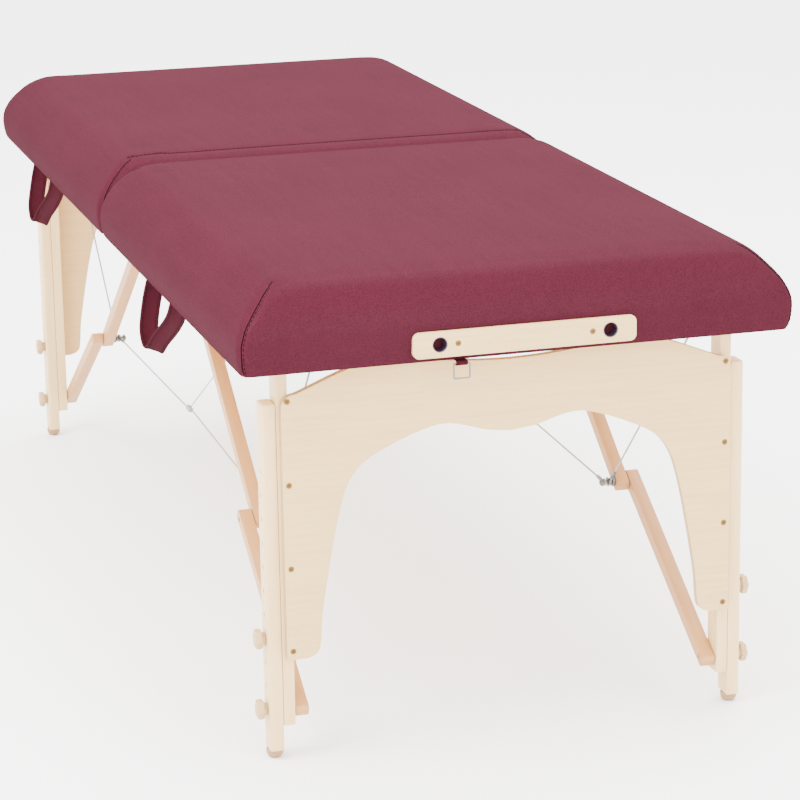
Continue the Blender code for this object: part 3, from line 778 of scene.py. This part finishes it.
def add_cushion(end):
    name = END_NAMES[end]
    body = HALF_BODY[end]
    cushion = link(f"{name}_cushion", to_mesh("cushion", moved(cushion_shape(START_SHRINK), end)))
    remesh_and_swell(cushion)
    tree = BVHTree.FromObject(cushion, bpy.context.evaluated_depsgraph_get())
    lines = seam_lines(end)
    rough = [onto(tree, line) for _, line in lines]
    press_seams(cushion.data, rough, SEAM_DEPTH, SEAM_WIDTH)
    open_below(cushion, end)
    shade(cushion.data, 50)
    paint(cushion, VINYL)
    bpy.context.view_layer.update()
    tree = BVHTree.FromObject(cushion, bpy.context.evaluated_depsgraph_get())
    settle(cushion, body, (f"{name}_cover", f"{name}_foam"))
    welts, threads = [], []
    for kind, line in lines:
        found = onto(tree, line)
        places = [place for place, _ in found]
        # A dark tube in the thread material, sunk a little along each seam's crease: painted shade for the
        # groove between the puffed edges. The stitches beside it are real thread.
        shade_line = [place - normal * THREAD_GAP for place, normal in found]
        threads.append(sweep(shade_line, circle(0.0009, 8)))
        for sign in (-1, 1):
            ridge = []
            for i, (place, normal) in enumerate(found):
                ridge.append(place + run_at(places, i).cross(normal) * sign * 0.0016 - normal * 0.0005)
            welts.append(sweep(ridge, circle(0.0008, 8)))
        for shift in (0.0030,) if kind == "dart" else (0.0036, -0.0036):
            threads.append(stitches(found, shift, SEAM_STITCH))
    # The welts take the lighter vinyl, a painted highlight along the seams' puffed edges.
    piece(f"{name}_seam_welts", join(*welts), WELT_HIGHLIGHT, body)
    piece(f"{name}_seam_threads_and_shade_line", join(*threads), THREAD, body)


# The wooden frame of each half


def round_part(place, profile, end, side, segments=28, lobes=None):
    """A turned part along Y at (x, z)."""
    return moved(lathe(profile, (place[0], 0.0, place[1]), TO_Y, segments, lobes), end, side)


def bolt_holes(places, radius, y_low, y_high, end, side):
    """Closed cylinders along Y at (x, z) places, for cutting, with a little play for the bolt."""
    profile = [(radius + BOLT_PLAY, y_low), (radius + BOLT_PLAY, y_high)]
    return [round_part(place, profile, end, side, 24) for place in places]


def hex_nut(place, y_low, y_high, radius, end, side):
    """A six-sided nut with chamfered corners, along Y."""
    rim = radius * 0.93
    edge = (y_high - y_low) * 0.15
    profile = [(rim, y_low), (radius, y_low + edge), (radius, y_high - edge), (rim, y_high)]
    return round_part(place, profile, end, side, 6)


def pivot_hardware(place, face_y, block_y, end, side):
    """A pivot bolt from its block to the nut and washer on its inboard end."""
    shank = round_part(place, [(PIVOT_BOLT, face_y - 0.0098), (PIVOT_BOLT, block_y)], end, side)
    nut = hex_nut(place, face_y - 0.0080, face_y - 0.0018, 0.0070, end, side)
    rim = [(0.0050, face_y - 0.0016), (0.0072, face_y - 0.0014), (0.0072, face_y - 0.0004)]
    washer = round_part(place, rim, end, side)
    return [shank, nut, washer]


def inner_face(curve, reach, height):
    """How far out the frame can go at a height, inside the cushion's skirt."""
    return reach - START_SHRINK - SKIRT - 0.0004 - inset(curve, height, CUSHION_TOP)


RAIL_HEIGHTS = (0.5555, 0.577, 0.590, 0.6055, DECK_LOW)


def side_rail_outline():
    face = [(inner_face(SIDE_CURVE, COVER_HIGH.y, z), z) for z in RAIL_HEIGHTS]
    return [(RAIL_INSIDE, RAIL_HEIGHTS[0]), *face, (LEDGE[0][0], DECK_LOW), *LEDGE]


def end_rail_outline():
    face = [(inner_face(END_CURVE, COVER_HIGH.x, z), z) for z in RAIL_HEIGHTS]
    inside = FRAME_HIGH.x - RAIL_THICK
    return [(inside, RAIL_HEIGHTS[0]), *face, (inside, DECK_LOW)]


def fold_rail_outline():
    low, high = COVER_LOW.x + START_SHRINK + SKIRT + 0.0008, FRAME_LOW.x + RAIL_THICK
    return [(low, RAIL_HEIGHTS[0]), (high, RAIL_HEIGHTS[0]), (high, DECK_LOW), (low, DECK_LOW)]


def bar(name, shape, run, seed, body, bevel, replaces=(), cuts=()):
    """A rail or block of the frame, with its grain along run."""
    middle = sum((Vector(v) for v in shape[0]), Vector()) / len(shape[0])
    place = along_grain(middle, run, (0, 0, 1), seed)
    return piece(name, shape, MAPLE, body, replaces, bevel, cuts=cuts, place=place)


def cross_rail_rings(outline):
    """Rings across the table, low enough at their ends to stay inside the rounded skirt."""
    stations = ((-RAIL_INSIDE, 0.598), (-0.340, 1.0), (0.340, 1.0), (RAIL_INSIDE, 0.598))
    return [[(x, y, min(z, limit)) for x, z in outline] for y, limit in stations]


# Along a side rail: X, and the most that its height and its outer face may reach there
SIDE_RAIL_STATIONS = ((0.012, 0.585, 0.370), (0.040, 1.0, 1.0), (0.880, 1.0, 1.0), (0.912, 0.585, 0.370))
# Hinge blocks, from corner to corner, and how deep a pivot bolt goes into one
BLOCKS = {
    "leg_block": ((0.823, OUTER_LOW.y, 0.562), (0.863, RAIL_INSIDE, LEDGE[0][1])),
    "brace_block": ((0.060, LOWER_LOW.y, 0.570), (0.100, RAIL_INSIDE, LEDGE[0][1])),
}
BOLT_GRIP = 0.012


def add_frame(end):
    name, body = END_NAMES[end], HALF_BODY[end]
    seed = 3 if end == NEAR else 40
    outline = side_rail_outline()
    for side in (LEFT, RIGHT):
        label = corner_name(end, side)
        rings = [[(x, min(y, wide), min(z, top)) for y, z in outline] for x, top, wide in SIDE_RAIL_STATIONS]
        replaced = (f"{name}_frame",) if side == LEFT else ()
        side_rail = moved(skin(rings), end, side)
        bar(f"{label}_side_rail", side_rail, (1, 0, 0), seed + side, body, 0.0009, replaced)
        for i, (kind, corners) in enumerate(BLOCKS.items()):
            block = moved(box(*corners), end, side)
            bar(f"{label}_{kind}", block, (1, 0, 0), seed + 5 + 2 * i + side, body, 0.0012)
        hardware = pivot_hardware(LEG_PIVOT, INNER_LOW.y, OUTER_LOW.y + BOLT_GRIP, end, side)
        hardware += pivot_hardware(BRACE_PIVOT, UPPER_LOW.y, LOWER_LOW.y + BOLT_GRIP, end, side)
        piece(f"{label}_pivot_bolts", join(*hardware), STEEL, body, bevel=0.0002)
    holes = socket_bores(SOCKET_RADIUS, 0.890, 0.950) if end == NEAR else ()
    end_rail = moved(skin(cross_rail_rings(end_rail_outline())), end)
    bar(f"{name}_end_rail", end_rail, (0, 1, 0), seed + 11, body, 0.0009, cuts=holes)
    fold_rail = moved(skin(cross_rail_rings(fold_rail_outline())), end)
    bar(f"{name}_fold_rail", fold_rail, (0, 1, 0), seed + 12, body, 0.0009)


def add_deck(end):
    """The plywood deck, let in between the rails' ledges under the foam."""
    name = END_NAMES[end]
    low = (COVER_LOW.x + START_SHRINK + SKIRT + 0.002, -DECK_HALF_WIDTH)
    outline = rounded(low, (DECK_END, DECK_HALF_WIDTH), 0.020, 5)
    middle = (DECK_LOW + DECK_TOP) / 2
    place = along_grain((0.46 * end, 0, middle), (1, 0, 0), (0, 0, 1), 9 * end)
    shape = moved(prism(outline, DECK_LOW, DECK_TOP), end)
    piece(f"{name}_deck_sheet", shape, PANEL_WOOD, HALF_BODY[end], (f"{name}_deck",), place=place)


def add_hinge_screws(end):
    """Countersunk screws up through the hinge leaf into the fold rail."""
    z = HINGE_Z + 0.0012
    dome = [(0.0030, z), (0.0026, z - 0.0005), (0.0012, z - 0.0009)]
    spots = [(HINGE_SCREW_X, HINGE_SCREW_PITCH * (i - 5.5), 0.0) for i in range(12)]
    heads = [moved(lathe(dome, spot, None, 16), end) for spot in spots]
    piece(f"{END_NAMES[end]}_hinge_screws", join(*heads), STEEL, HALF_BODY[end])


# Leg frames


def panel_outline():
    """One half in (y, z), from the middle of the top edge round to the middle of the arch."""
    wide, low = PANEL_HIGH.y, PANEL_LOW.z
    knots = [(0.0, 0.535), (0.05, 0.537), (0.14, 0.5455), (0.21, 0.545)]
    knots.append((wide - PANEL_CORNER, PANEL_SHOULDER))
    top = smooth_line([(*k, 0.0) for k in knots], 6)
    centre = (wide - PANEL_CORNER, PANEL_SHOULDER - PANEL_CORNER)
    corner = arc(centre, PANEL_CORNER, 70, 0, 8)
    foot = [(wide, low), (0.291, low)]
    arch = [(0.2805, 0.1478), (0.2730, 0.155), (0.270, 0.170), (0.265, 0.22), (0.243, 0.337)]
    arch += [(0.222, 0.394), (0.182, 0.425), (0.100, 0.4535), (0.035, 0.440), (0.0, 0.4355)]
    inner = smooth_line([(*k, 0.0) for k in arch], 6)
    return [(p[0], p[1]) for p in top] + corner + foot + [(p[0], p[1]) for p in inner]


def recesses(spots, face, depth, radius, end=NEAR):
    """The countersinks of screws at (y, z) spots in a face across X."""
    cone = [(0.0022, face - depth), (radius, face + 0.0005)]
    return [moved(lathe(cone, (0, y, z), TO_X, 24), end) for y, z in spots]


def add_screws(name, spots, face, head, slot, turn, body, end=NEAR):
    """Cross-head screws at (y, z) spots in a face across X, as depths below it.

    The head is a profile of (radius, depth). A slot is half its length, half its width, the depth
    of its floor and the depth of its rim. The slots are dark crosses on the heads, painted shade for
    their cross recesses.
    """
    reach, half, floor, rim = slot
    heads, slots = [], []
    for y, z in spots:
        profile = [(radius, face - depth) for radius, depth in head]
        heads.append(moved(lathe(profile, (0, y, z), TO_X, 24), end))
        # Each slot is a dark box standing on the head's top: painted shade for the cross recess.
        for angle in (turn, turn + math.pi / 2):
            arm = Matrix.Rotation(angle, 3, "X")
            verts, faces = box((face - floor, -reach, -half), (face - rim, reach, half))
            slots.append(moved(([arm @ Vector(v) for v in verts], faces), end, RIGHT, (0, y, z)))
    piece(f"{name}_screws", join(*heads), BRASS, body)
    piece(f"{name}_screw_slot_shade", join(*slots), RECESS_SHADE, body)


def add_panel(end):
    name = END_NAMES[end]
    body = f"{name}_leg_frame"
    right = panel_outline()
    outline = right + [(-y, z) for y, z in right[-2:0:-1]]
    place = along_grain((PANEL_LOW.x * end, 0, 0), (0, 1, 0), (end, 0, 0), 0)
    shape = moved(prism(outline, PANEL_LOW.x, PANEL_HIGH.x, 0), end)
    spots = [(PANEL_SCREW_Y * side, z) for side in (LEFT, RIGHT) for z in PANEL_SCREW_Z]
    holes = recesses(spots, PANEL_HIGH.x, 0.0030, 0.0052, end)
    replaced = (f"{name}_panel",)
    made = piece(
        f"{name}_end_panel", shape, PANEL_WOOD, body, replaced, 0.0011, cuts=holes, place=place
    )
    made.data.materials.append(PLY_EDGE)
    for face in made.data.polygons:
        if abs(face.normal.z) < 0.3 and face.area > 1e-6:
            face.material_index = 1
    head = [(0.0044, 0.0022), (0.0043, 0.0010), (0.0030, 0.0006), (0.0008, 0.0005)]
    slot = (0.0020, 0.00045, 0.0012, 0.00035)
    add_screws(f"{name}_panel", spots, PANEL_HIGH.x, head, slot, 0.4, body, end)


def add_inner_leg(end, side):
    name = corner_name(end, side)
    """A leg bar with a round top, bolted at its pivot and where the outer leg clamps on."""
    x = LEG_PIVOT[0]
    half = (INNER_HIGH.x - INNER_LOW.x) / 2
    outline = [(x - half, INNER_LOW.z), (x + half, INNER_LOW.z)] + arc(LEG_PIVOT, half, 0, 180, 18)
    shape = moved(prism(outline, INNER_LOW.y, INNER_HIGH.y, 1), end, side)
    place = along_grain((x * end, INNER_LOW.y * side, 0), (0, 0, 1), (0, side, 0), 21 + 2 * end + side)
    cuts = bolt_holes([LEG_PIVOT], PIVOT_BOLT, 0.29, 0.33, end, side)
    cuts += bolt_holes([LOWER_BOLT, (x, UPPER_BOLT_Z)], LEG_BOLT, 0.29, 0.33, end, side)
    body, replaced = f"{END_NAMES[end]}_leg_frame", (f"{name}_inner_leg",)
    piece(f"{name}_inner_leg_bar", shape, MAPLE, body, replaced, 0.0014, 3, cuts, place)


def add_outer_leg(end, side):
    """A leg bar with a rounded outer face, a row of bolt holes and its foot."""
    name = corner_name(end, side)
    body = f"{name}_extension"
    low, high = OUTER_LOW, OUTER_HIGH
    round_out, round_in = 0.0050, 0.0012
    outline = arc((high.x - round_in, low.y + round_in), round_in, -90, 0, 3)
    outline += arc((high.x - round_out, high.y - round_out), round_out, 0, 90, 6)
    outline += arc((low.x + round_out, high.y - round_out), round_out, 90, 180, 6)
    outline += arc((low.x + round_in, low.y + round_in), round_in, 180, 270, 3)
    centre = Vector(((low.x + high.x) / 2, (low.y + high.y) / 2))
    rings = []
    for height, share in ((low.z, 1.0), (high.z - 0.0036, 1.0), (high.z - 0.0010, 0.93), (high.z, 0.74)):
        points = [centre + (Vector(p) - centre) * share for p in outline]
        rings.append([(p.x, p.y, height) for p in points])
    shape = moved(skin(rings), end, side)
    place = along_grain((low.x * end, low.y * side, 0), (0, 0, 1), (0, side, 0), 31 + 2 * end + side)
    spots = [(centre.x, LOWER_BOLT[1] + i * HOLE_PITCH) for i in range(HOLE_COUNT)]
    bore = [(0.0034, 0.31), (0.0034, high.y - 0.0007), (0.0044, high.y + 0.0004), (0.0044, 0.35)]
    cuts = [round_part(spot, bore, end, side, 24) for spot in spots]
    replaced = (f"{name}_outer_leg",)
    piece(f"{name}_outer_leg_bar", shape, MAPLE, body, replaced, 0.0008, cuts=cuts, place=place)
    foot_low, foot_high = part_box("near_right_foot")
    centre = ((foot_low.x + foot_high.x) / 2, (foot_low.y + foot_high.y) / 2, 0.0)
    profile = [(0.0040, 0.0002), (0.0070, 0.0), (0.0088, 0.0010), (0.0104, 0.0030), (0.0114, 0.0058)]
    profile += [(0.0118, 0.0090), (0.0118, 0.0118), (0.0112, 0.0126), (0.0060, 0.0127)]
    shape = moved(lathe(profile, centre, None, 40), end, side)
    piece(f"{name}_foot_cap", shape, FOOT, body, (f"{name}_foot",))


def add_knob(end, side, level, height):
    """A six-lobed wooden knob on a steel stud."""
    name = f"{corner_name(end, side)}_{level}"
    body = f"{name}_clamp"
    place = (LEG_PIVOT[0], height)
    out = OUTER_HIGH.y
    tip = INNER_LOW.y + 0.0004 if level == "upper" else LOWER_LOW.y + 0.0004
    neck = [(0.0070, out + 0.0004), (0.0085, out + 0.0010), (0.0088, out + 0.0042), (0.0096, out + 0.0050)]
    lobed = [(0.0094, out + 0.0046), (0.0117, out + 0.0050), (0.0129, out + 0.0062), (0.0131, out + 0.0112)]
    lobed += [(0.0125, out + 0.0132), (0.0108, out + 0.0144), (0.0070, out + 0.0149), (0.0020, out + 0.0150)]
    shape = join(round_part(place, neck, end, side, 40), round_part(place, lobed, end, side, 72, (6, 0.085)))
    grain = along_grain((place[0] * end, out * side, place[1]), (1, 0, 0), (0, side, 0), 51 + end)
    piece(f"{name}_knob_head", shape, KNOB_WOOD, body, (f"{name}_knob",), place=grain)
    stud = [(0.0024, tip), (LEG_BOLT, tip + 0.0006), (LEG_BOLT, out + 0.0010)]
    piece(f"{name}_stud", round_part(place, stud, end, side), STEEL, body)


def brace_bar(name, start, finish, low, high, body, end, side, seed, bolt_radius):
    """A square bar past both pivots, with blunt corners at its ends."""
    a, b = Vector((start[0], 0, start[1])), Vector((finish[0], 0, finish[1]))
    run = (b - a).normalized()
    up = Vector((-run.z, 0, run.x))
    half, nose = BRACE_SIZE / 2, BRACE_SIZE / 2 * 0.55
    reach = BRACE_OVERHANG - (half - nose)
    marks = [(-reach, half), (-BRACE_OVERHANG, nose), (-BRACE_OVERHANG, -nose), (-reach, -half)]
    points = [a + run * s + up * u for s, u in marks]
    points += [b - run * s + up * u for s, u in marks[::-1]]
    shape = moved(prism([(p.x, p.z) for p in points], low.y, high.y, 1), end, side)
    place = along_grain((a.x * end, low.y * side, a.z), (run.x * end, 0, run.z), (0, side, 0), seed)
    cuts = bolt_holes([start], bolt_radius, low.y - 0.02, high.y + 0.02, end, side)
    cuts += bolt_holes([finish], LEG_BOLT, low.y - 0.02, high.y + 0.02, end, side)
    piece(f"{name}_bar", shape, BRACE_WOOD, body, (name,), 0.0013, cuts=cuts, place=place)


def add_braces(end, side):
    """The two bars of a brace and the elbow bolt between them, with its nut and washers."""
    end_name = END_NAMES[end]
    name = corner_name(end, side)
    uppers = f"{end_name}_upper_braces"
    seed = 2 * end + side
    span = (UPPER_LOW, UPPER_HIGH, uppers)
    brace_bar(f"{name}_upper_brace", BRACE_PIVOT, ELBOW, *span, end, side, 61 + seed, PIVOT_BOLT)
    span = (LOWER_LOW, LOWER_HIGH, f"{end_name}_lower_braces")
    brace_bar(f"{name}_lower_brace", ELBOW, LOWER_BOLT, *span, end, side, 71 + seed, LEG_BOLT)
    profiles = (
        [(0.0024, 0.2425), (LEG_BOLT, 0.2431), (LEG_BOLT, UPPER_HIGH.y - 0.0004)],
        [(0.0070, 0.2548), (0.0070, 0.2560)],
        [(0.0052, 0.2606), (0.0075, 0.2612), (0.0075, UPPER_LOW.y - 0.0004)],
    )
    parts = [round_part(ELBOW, profile, end, side) for profile in profiles]
    parts.append(hex_nut(ELBOW, 0.2440, 0.2480, 0.0060, end, side))
    replaced = (f"{name}_elbow_bolt",)
    piece(f"{name}_elbow_hardware", join(*parts), STEEL, uppers, replaced, 0.0002)


# Cables


def eye_line(centre, radius, heading, count=20):
    """A loop of cable round a bolt that lies along Y, which starts and ends on the heading's side."""
    start = math.atan2(heading[2], heading[0])
    spread = 0.45
    angles = np.linspace(start + spread, start + 2 * math.pi - spread, count)
    x, y, z = centre
    return [Vector((x + radius * math.cos(a), y, z + radius * math.sin(a))) for a in angles]


def cable_shapes(start, finish, steps=1):
    """The coating and the sleeve of a cable that loops round a bolt at its start."""
    start, finish = Vector(start), Vector(finish)
    heading = (finish - start).normalized()
    neck = start + heading * EYE_NECK
    loop = eye_line(start, EYE_RADIUS, heading)
    coat = [sweep([neck, *loop, neck + Vector((0, 0.0002, 0))], circle(CABLE_RADIUS, 8))]
    coat.append(sweep([neck.lerp(finish, i / steps) for i in range(steps + 1)], circle(CABLE_RADIUS, 10)))
    far = neck + heading * SLEEVE
    flats = [(0.0023, 0.0), (0.0026, 0.0008), (0.0022, 0.0018), (0.0, 0.0022)]
    section = flats + [(-s, u) for s, u in flats[-2::-1]]
    section += [(-s, -u) for s, u in flats[1:]] + [(s, -u) for s, u in flats[-2:0:-1]]
    crimp = sweep([neck - heading * 0.001, far], section, Vector((0, 1, 0)).cross(heading))
    return join(*coat), crimp


def add_long_cable(end, side):
    """The cable from the elbow to the crimp under the hinge."""
    name = f"{corner_name(end, side)}_long_cable"
    y = LONG_CABLE_Y[end]
    body = f"{END_NAMES[end]}_long_cables"
    coat, crimp = cable_shapes((ELBOW[0], y, ELBOW[1]), (0.0125, y, CRIMP_Z))
    piece(f"{name}_coating", moved(coat, end, side), COATING, body, (name,))
    piece(f"{name}_sleeve", moved(crimp, end, side), STEEL, body, bevel=0.0002)


def add_stay_cable(end, side):
    """The cable from the elbow to the end rail, drawn straight, with its anchor riding on the half."""
    name = f"{corner_name(end, side)}_stay_cable"
    elbow = (ELBOW[0], STAY_CABLE_Y, ELBOW[1])
    coat, crimp = cable_shapes(elbow, STAY_ANCHOR, 30)
    for label, shape, material in (("coating", coat, COATING), ("sleeve", crimp, STEEL)):
        made = link(f"{name}_{label}", to_mesh(name, moved(shape, end, side)))
        shade(made.data)
        paint(made, material)
        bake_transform(made)
        if label == "coating":
            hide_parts(name)
    shank = lathe([(0.0016, -0.0020), (0.0016, 0.0120)], STAY_ANCHOR, TO_X, 16)
    head = lathe([(0.0040, -0.0030), (0.0046, -0.0018), (0.0046, -0.0010)], STAY_ANCHOR, TO_X, 24)
    washer = lathe([(0.0058, -0.0008), (0.0058, 0.0004)], STAY_ANCHOR, TO_X, 24)
    shape = moved(join(shank, head, washer), end, side)
    piece(f"{name}_anchor", shape, STEEL, HALF_BODY[end])


def add_centre_cable():
    """The V of cable from the crimps up round the hinge pin."""
    middle = sum(LONG_CABLE_Y.values()) / 2
    coats, crimps = [], []
    for side in (LEFT, RIGHT):
        knots = [(0, middle - 0.001, CRIMP_Z + 0.001), (0, 0.0120, HINGE_Z - 0.0026)]
        coats.append(moved(sweep(knots, circle(0.0009, 10)), NEAR, side))
        profile = [(0.0028, -0.0112), (0.0040, -0.0100), (0.0042, -0.0080), (0.0042, 0.0080)]
        profile += [(0.0040, 0.0100), (0.0028, 0.0112)]
        crimps.append(moved(lathe(profile, (0, middle, CRIMP_Z), TO_X, 24), NEAR, side))
        for x in (-0.0055, 0.0, 0.0055):
            band = [(0.0044, x - 0.0006), (0.0046, x), (0.0044, x + 0.0006)]
            crimps.append(moved(lathe(band, (0, middle, CRIMP_Z), TO_X, 24), NEAR, side))
    ring = [(0.0015, -0.0130), (0.0024, -0.0128), (0.0026, 0.0), (0.0024, 0.0128), (0.0015, 0.0130)]
    coats.append(lathe(ring, (0, 0, HINGE_Z), TO_Y, 20))
    piece("centre_cable_coating", join(*coats), COATING, "fold_pin", ("centre_cable",))
    piece("centre_cable_crimps", join(*crimps), COATING, "fold_pin")


# Face-cradle strip, latch and handles


def add_strip():
    """The strip that holds the face cradle: two lined sockets between two screws."""
    low, high = STRIP_LOW, STRIP_HIGH
    place = along_grain((low.x, 0, STRIP_Z), (0, 1, 0), (1, 0, 0), 5)
    shape = prism(rounded((low.y, low.z), (high.y, high.z), 0.0090, 8), low.x, high.x, 0)
    spots = [(y, STRIP_Z) for y in (-STRIP_SCREW_Y, STRIP_SCREW_Y)]
    cuts = socket_bores(SOCKET_RADIUS, low.x - 0.01, high.x + 0.01, 40)
    cuts += recesses(spots, high.x, 0.0028, 0.0050)
    replaced = ("cradle_strip",)
    piece("cradle_strip_bar", shape, PANEL_WOOD, "root", replaced, 0.0010, 3, cuts, place)
    outer, inner = SOCKET_RADIUS - 0.0003, SOCKET_RADIUS - 0.0014
    floor, rim = SOCKET_FLOOR, high.x - 0.0002
    profile = [(inner, floor + 0.002), (inner, high.x - 0.0008), (inner + 0.0004, rim)]
    profile += [(outer, rim), (outer, floor), (0.0010, floor), (0.0010, floor + 0.002)]
    liners = [lathe(profile, (0, y, STRIP_Z), TO_X, 40) for y in (-SOCKET_Y, SOCKET_Y)]
    piece("socket_liners", join(*liners), SOCKET, "root")
    head = [(0.0042, 0.0022), (0.0041, 0.0008), (0.0028, 0.0003)]
    add_screws("strip", spots, high.x, head, (0.0019, 0.0004, 0.0010, 0.0001), 0.7, "root")


def add_latch():
    """The webbing tab, the ring that hangs from it and the stud on the far end that it hooks."""
    x, z = RING_AXIS
    tab_low, tab_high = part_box("latch_tab")
    half = (tab_high.y - tab_low.y) / 2 - 0.0010
    knots = [(tab_low.x, z + 0.0030), (x - 0.006, z + 0.0034), (x - 0.0005, z + 0.0028)]
    knots += [(x + 0.0022, z), (x - 0.0005, z - 0.0026), (x - 0.006, z - 0.0022)]
    line = smooth_line([(a, LATCH_Y, b) for a, b in knots], 6)
    section = rounded((-half, -0.0006), (half, 0.0006), 0.0005, 2)
    tab = sweep(line, section, (0, 1, 0))
    piece("latch_tab_strap", tab, WEBBING, "root", ("latch_tab",))
    rows = []
    for y in (-half + 0.0018, half - 0.0018):
        for i in range(5):
            a = tab_low.x + 0.002 + i * 0.0042
            dash = [(a, LATCH_Y + y, z + 0.0022), (a + 0.0026, LATCH_Y + y, z + 0.0022)]
            rows.append(sweep(dash, circle(0.0004, 6)))
    piece("latch_tab_stitches", join(*rows), THREAD, "root")
    low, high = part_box("latch_ring")
    wire = 0.0012
    outline = rounded((low.y + wire, low.z + wire), (high.y - wire, high.z - wire), 0.0018, 5)
    ring = sweep([(x, y, height) for y, height in outline], circle(wire, 12), None, True)
    piece("latch_ring_wire", ring, STEEL, "clasp_ring", ("latch_ring",))
    low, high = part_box("latch_stud")
    y, height = (low.y + high.y) / 2, (low.z + high.z) / 2
    reach = high.x - low.x
    radius = (high.z - low.z) / 2
    profile = [(radius * 0.7, 0.0), (radius * 0.55, reach * 0.45), (radius * 0.9, reach * 0.62)]
    profile += [(radius, reach * 0.8), (radius * 0.8, reach * 0.97), (radius * 0.3, reach)]
    stud = moved(lathe(profile, (-high.x, y, height), TO_X, 32), FAR, RIGHT)
    piece("latch_stud_turned", stud, STEEL, "far_half", ("latch_stud",))


HANDLE_WIDTH = 0.028
HANDLE_THICK = 0.0028
HANDLE_LINE = (
    (-0.080, -0.001, 0.000),
    (-0.087, -0.004, 0.018),
    (-0.086, -0.009, 0.042),
    (-0.073, -0.015, 0.067),
    (-0.049, -0.0175, 0.0840),
    (-0.0300, -0.0180, 0.0890),
    (-0.0180, -0.0175, 0.0840),
    (0.008, -0.014, 0.064),
    (0.038, -0.008, 0.043),
    (0.064, -0.004, 0.022),
    (0.082, -0.002, 0.000),
)
HANDLE_TWIST = (0.30, 0.35, 0.35, 0.20, -0.10, -0.35, -0.50, -0.65, -0.70, -0.60, -0.50)


def add_handle(end):
    """A stitched webbing loop that hangs from the left side."""
    name = f"{END_NAMES[end]}_handle"
    low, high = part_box(name)
    centre = Vector(((low.x + high.x) / 2, (low.y + high.y) / 2, high.z))
    knots = [centre + Vector((x, y, -drop)) for x, y, drop in HANDLE_LINE]
    steps = 8
    line = smooth_line(knots, steps)
    turns = smooth_line([(t, 0, 0) for t in HANDLE_TWIST], steps)
    across = []
    for i in range(len(line)):
        run = run_at(line, i)
        side = Vector((0, 1, 0))
        side = (side - run * side.dot(run)).normalized()
        across.append(Matrix.Rotation(turns[i].x, 3, run) @ side)
    half, thick = HANDLE_WIDTH / 2, HANDLE_THICK / 2
    edge = half - 0.0036
    section = [(-half, -thick * 0.5), (-half + 0.001, -thick)]
    section += [(-edge, -thick), (-edge + 0.0005, -thick * 0.6)]
    section += [(-s, u) for s, u in section[::-1]]
    section += [(s, -u) for s, u in section[::-1]]
    body = f"{END_NAMES[end]}_carry_handle"
    made = piece(f"{name}_strap", sweep(line, section, across), WEBBING, body, (name,))
    shade(made.data, 50)
    rows = []
    for face in (-1, 1):
        for offset in (-edge + 0.0006, edge - 0.0006):
            found = []
            for i, point in enumerate(line):
                up = run_at(line, i).cross(across[i]).normalized() * face
                found.append((point + across[i] * offset + up * thick * 0.80, up))
            rows.append(stitches(found, 0.0, STRAP_STITCH))
    piece(f"{name}_stitches", join(*rows), THREAD, body)


# Camera, light and floor


def set_camera():
    """A camera on the table at the fitted angles, in degrees, and the fitted distance."""
    azimuth, elevation, roll = math.radians(73.706), math.radians(15.321), math.radians(-0.946)
    target = Vector((0.3737, -0.0092, 0.35))
    back = Vector((
        math.sin(azimuth) * math.cos(elevation),
        -math.cos(azimuth) * math.cos(elevation),
        math.sin(elevation),
    ))
    right = (-back).cross(Vector((0, 0, 1))).normalized()
    up = right.cross(-back)
    level = Matrix((right, up, back)).transposed()
    camera = bpy.data.objects.new("camera", bpy.data.cameras.new("camera"))
    camera.data.lens = 135.65
    camera.data.sensor_width = 36.0
    camera.matrix_world = Matrix.Translation(target + back * 4.527) @ (
        level @ Matrix.Rotation(roll, 3, "Z")
    ).to_4x4()
    bpy.context.scene.collection.objects.link(camera)
    bpy.context.scene.camera = camera


def area_light(name, place, aim, size, power):
    light = bpy.data.objects.new(name, bpy.data.lights.new(name, "AREA"))
    light.data.size = size
    light.data.energy = power
    light.location = place
    light.rotation_euler = (Vector(aim) - Vector(place)).to_track_quat("-Z", "Y").to_euler()
    bpy.context.scene.collection.objects.link(light)


def set_light():
    world = bpy.data.worlds.new("studio")
    bpy.context.scene.world = world
    world.use_nodes = True
    background = world.node_tree.nodes["Background"]
    background.inputs["Color"].default_value = (1.0, 1.0, 1.0, 1.0)
    background.inputs["Strength"].default_value = 5.0
    area_light("key", (1.2, -2.6, 3.4), (0.2, 0.0, 0.4), 2.4, 320)
    area_light("front", (4.0, 0.6, 1.6), (0.6, 0.0, 0.3), 2.0, 90)
    area_light("top", (-0.6, 0.8, 3.6), (0.0, 0.0, 0.5), 3.0, 220)


def add_floor():
    n = Nodes("pale_floor", 0.9)
    cloud = n.noise(n.object_space(), 0.8, 2.0)
    n.finish(n.ramp(cloud, [(0.3, (0.93, 0.93, 0.93)), (0.7, (0.95, 0.95, 0.95))]))
    corners = [(x, y, 0) for x, y in ((-30, -30), (30, -30), (30, 30), (-30, 30))]
    floor = link("floor", to_mesh("floor", (corners, [(0, 1, 2, 3)])))
    paint(floor, n.material)
    floor.location.z = -0.0006


set_camera()
set_light()
add_floor()
for end in (NEAR, FAR):
    add_cushion(end)
    add_frame(end)
    add_deck(end)
    add_hinge_screws(end)
    add_panel(end)
    for side in (LEFT, RIGHT):
        add_inner_leg(end, side)
        add_outer_leg(end, side)
        add_knob(end, side, "upper", UPPER_BOLT_Z)
        add_knob(end, side, "lower", LOWER_BOLT[1])
        add_braces(end, side)
        add_long_cable(end, side)
        add_stay_cable(end, side)
    add_handle(end)
    paint(frame["nodes"][f"{END_NAMES[end]}_hinge_leaf"], STEEL)
paint(frame["nodes"]["hinge_pin"], STEEL)
add_centre_cable()
add_strip()
add_latch()
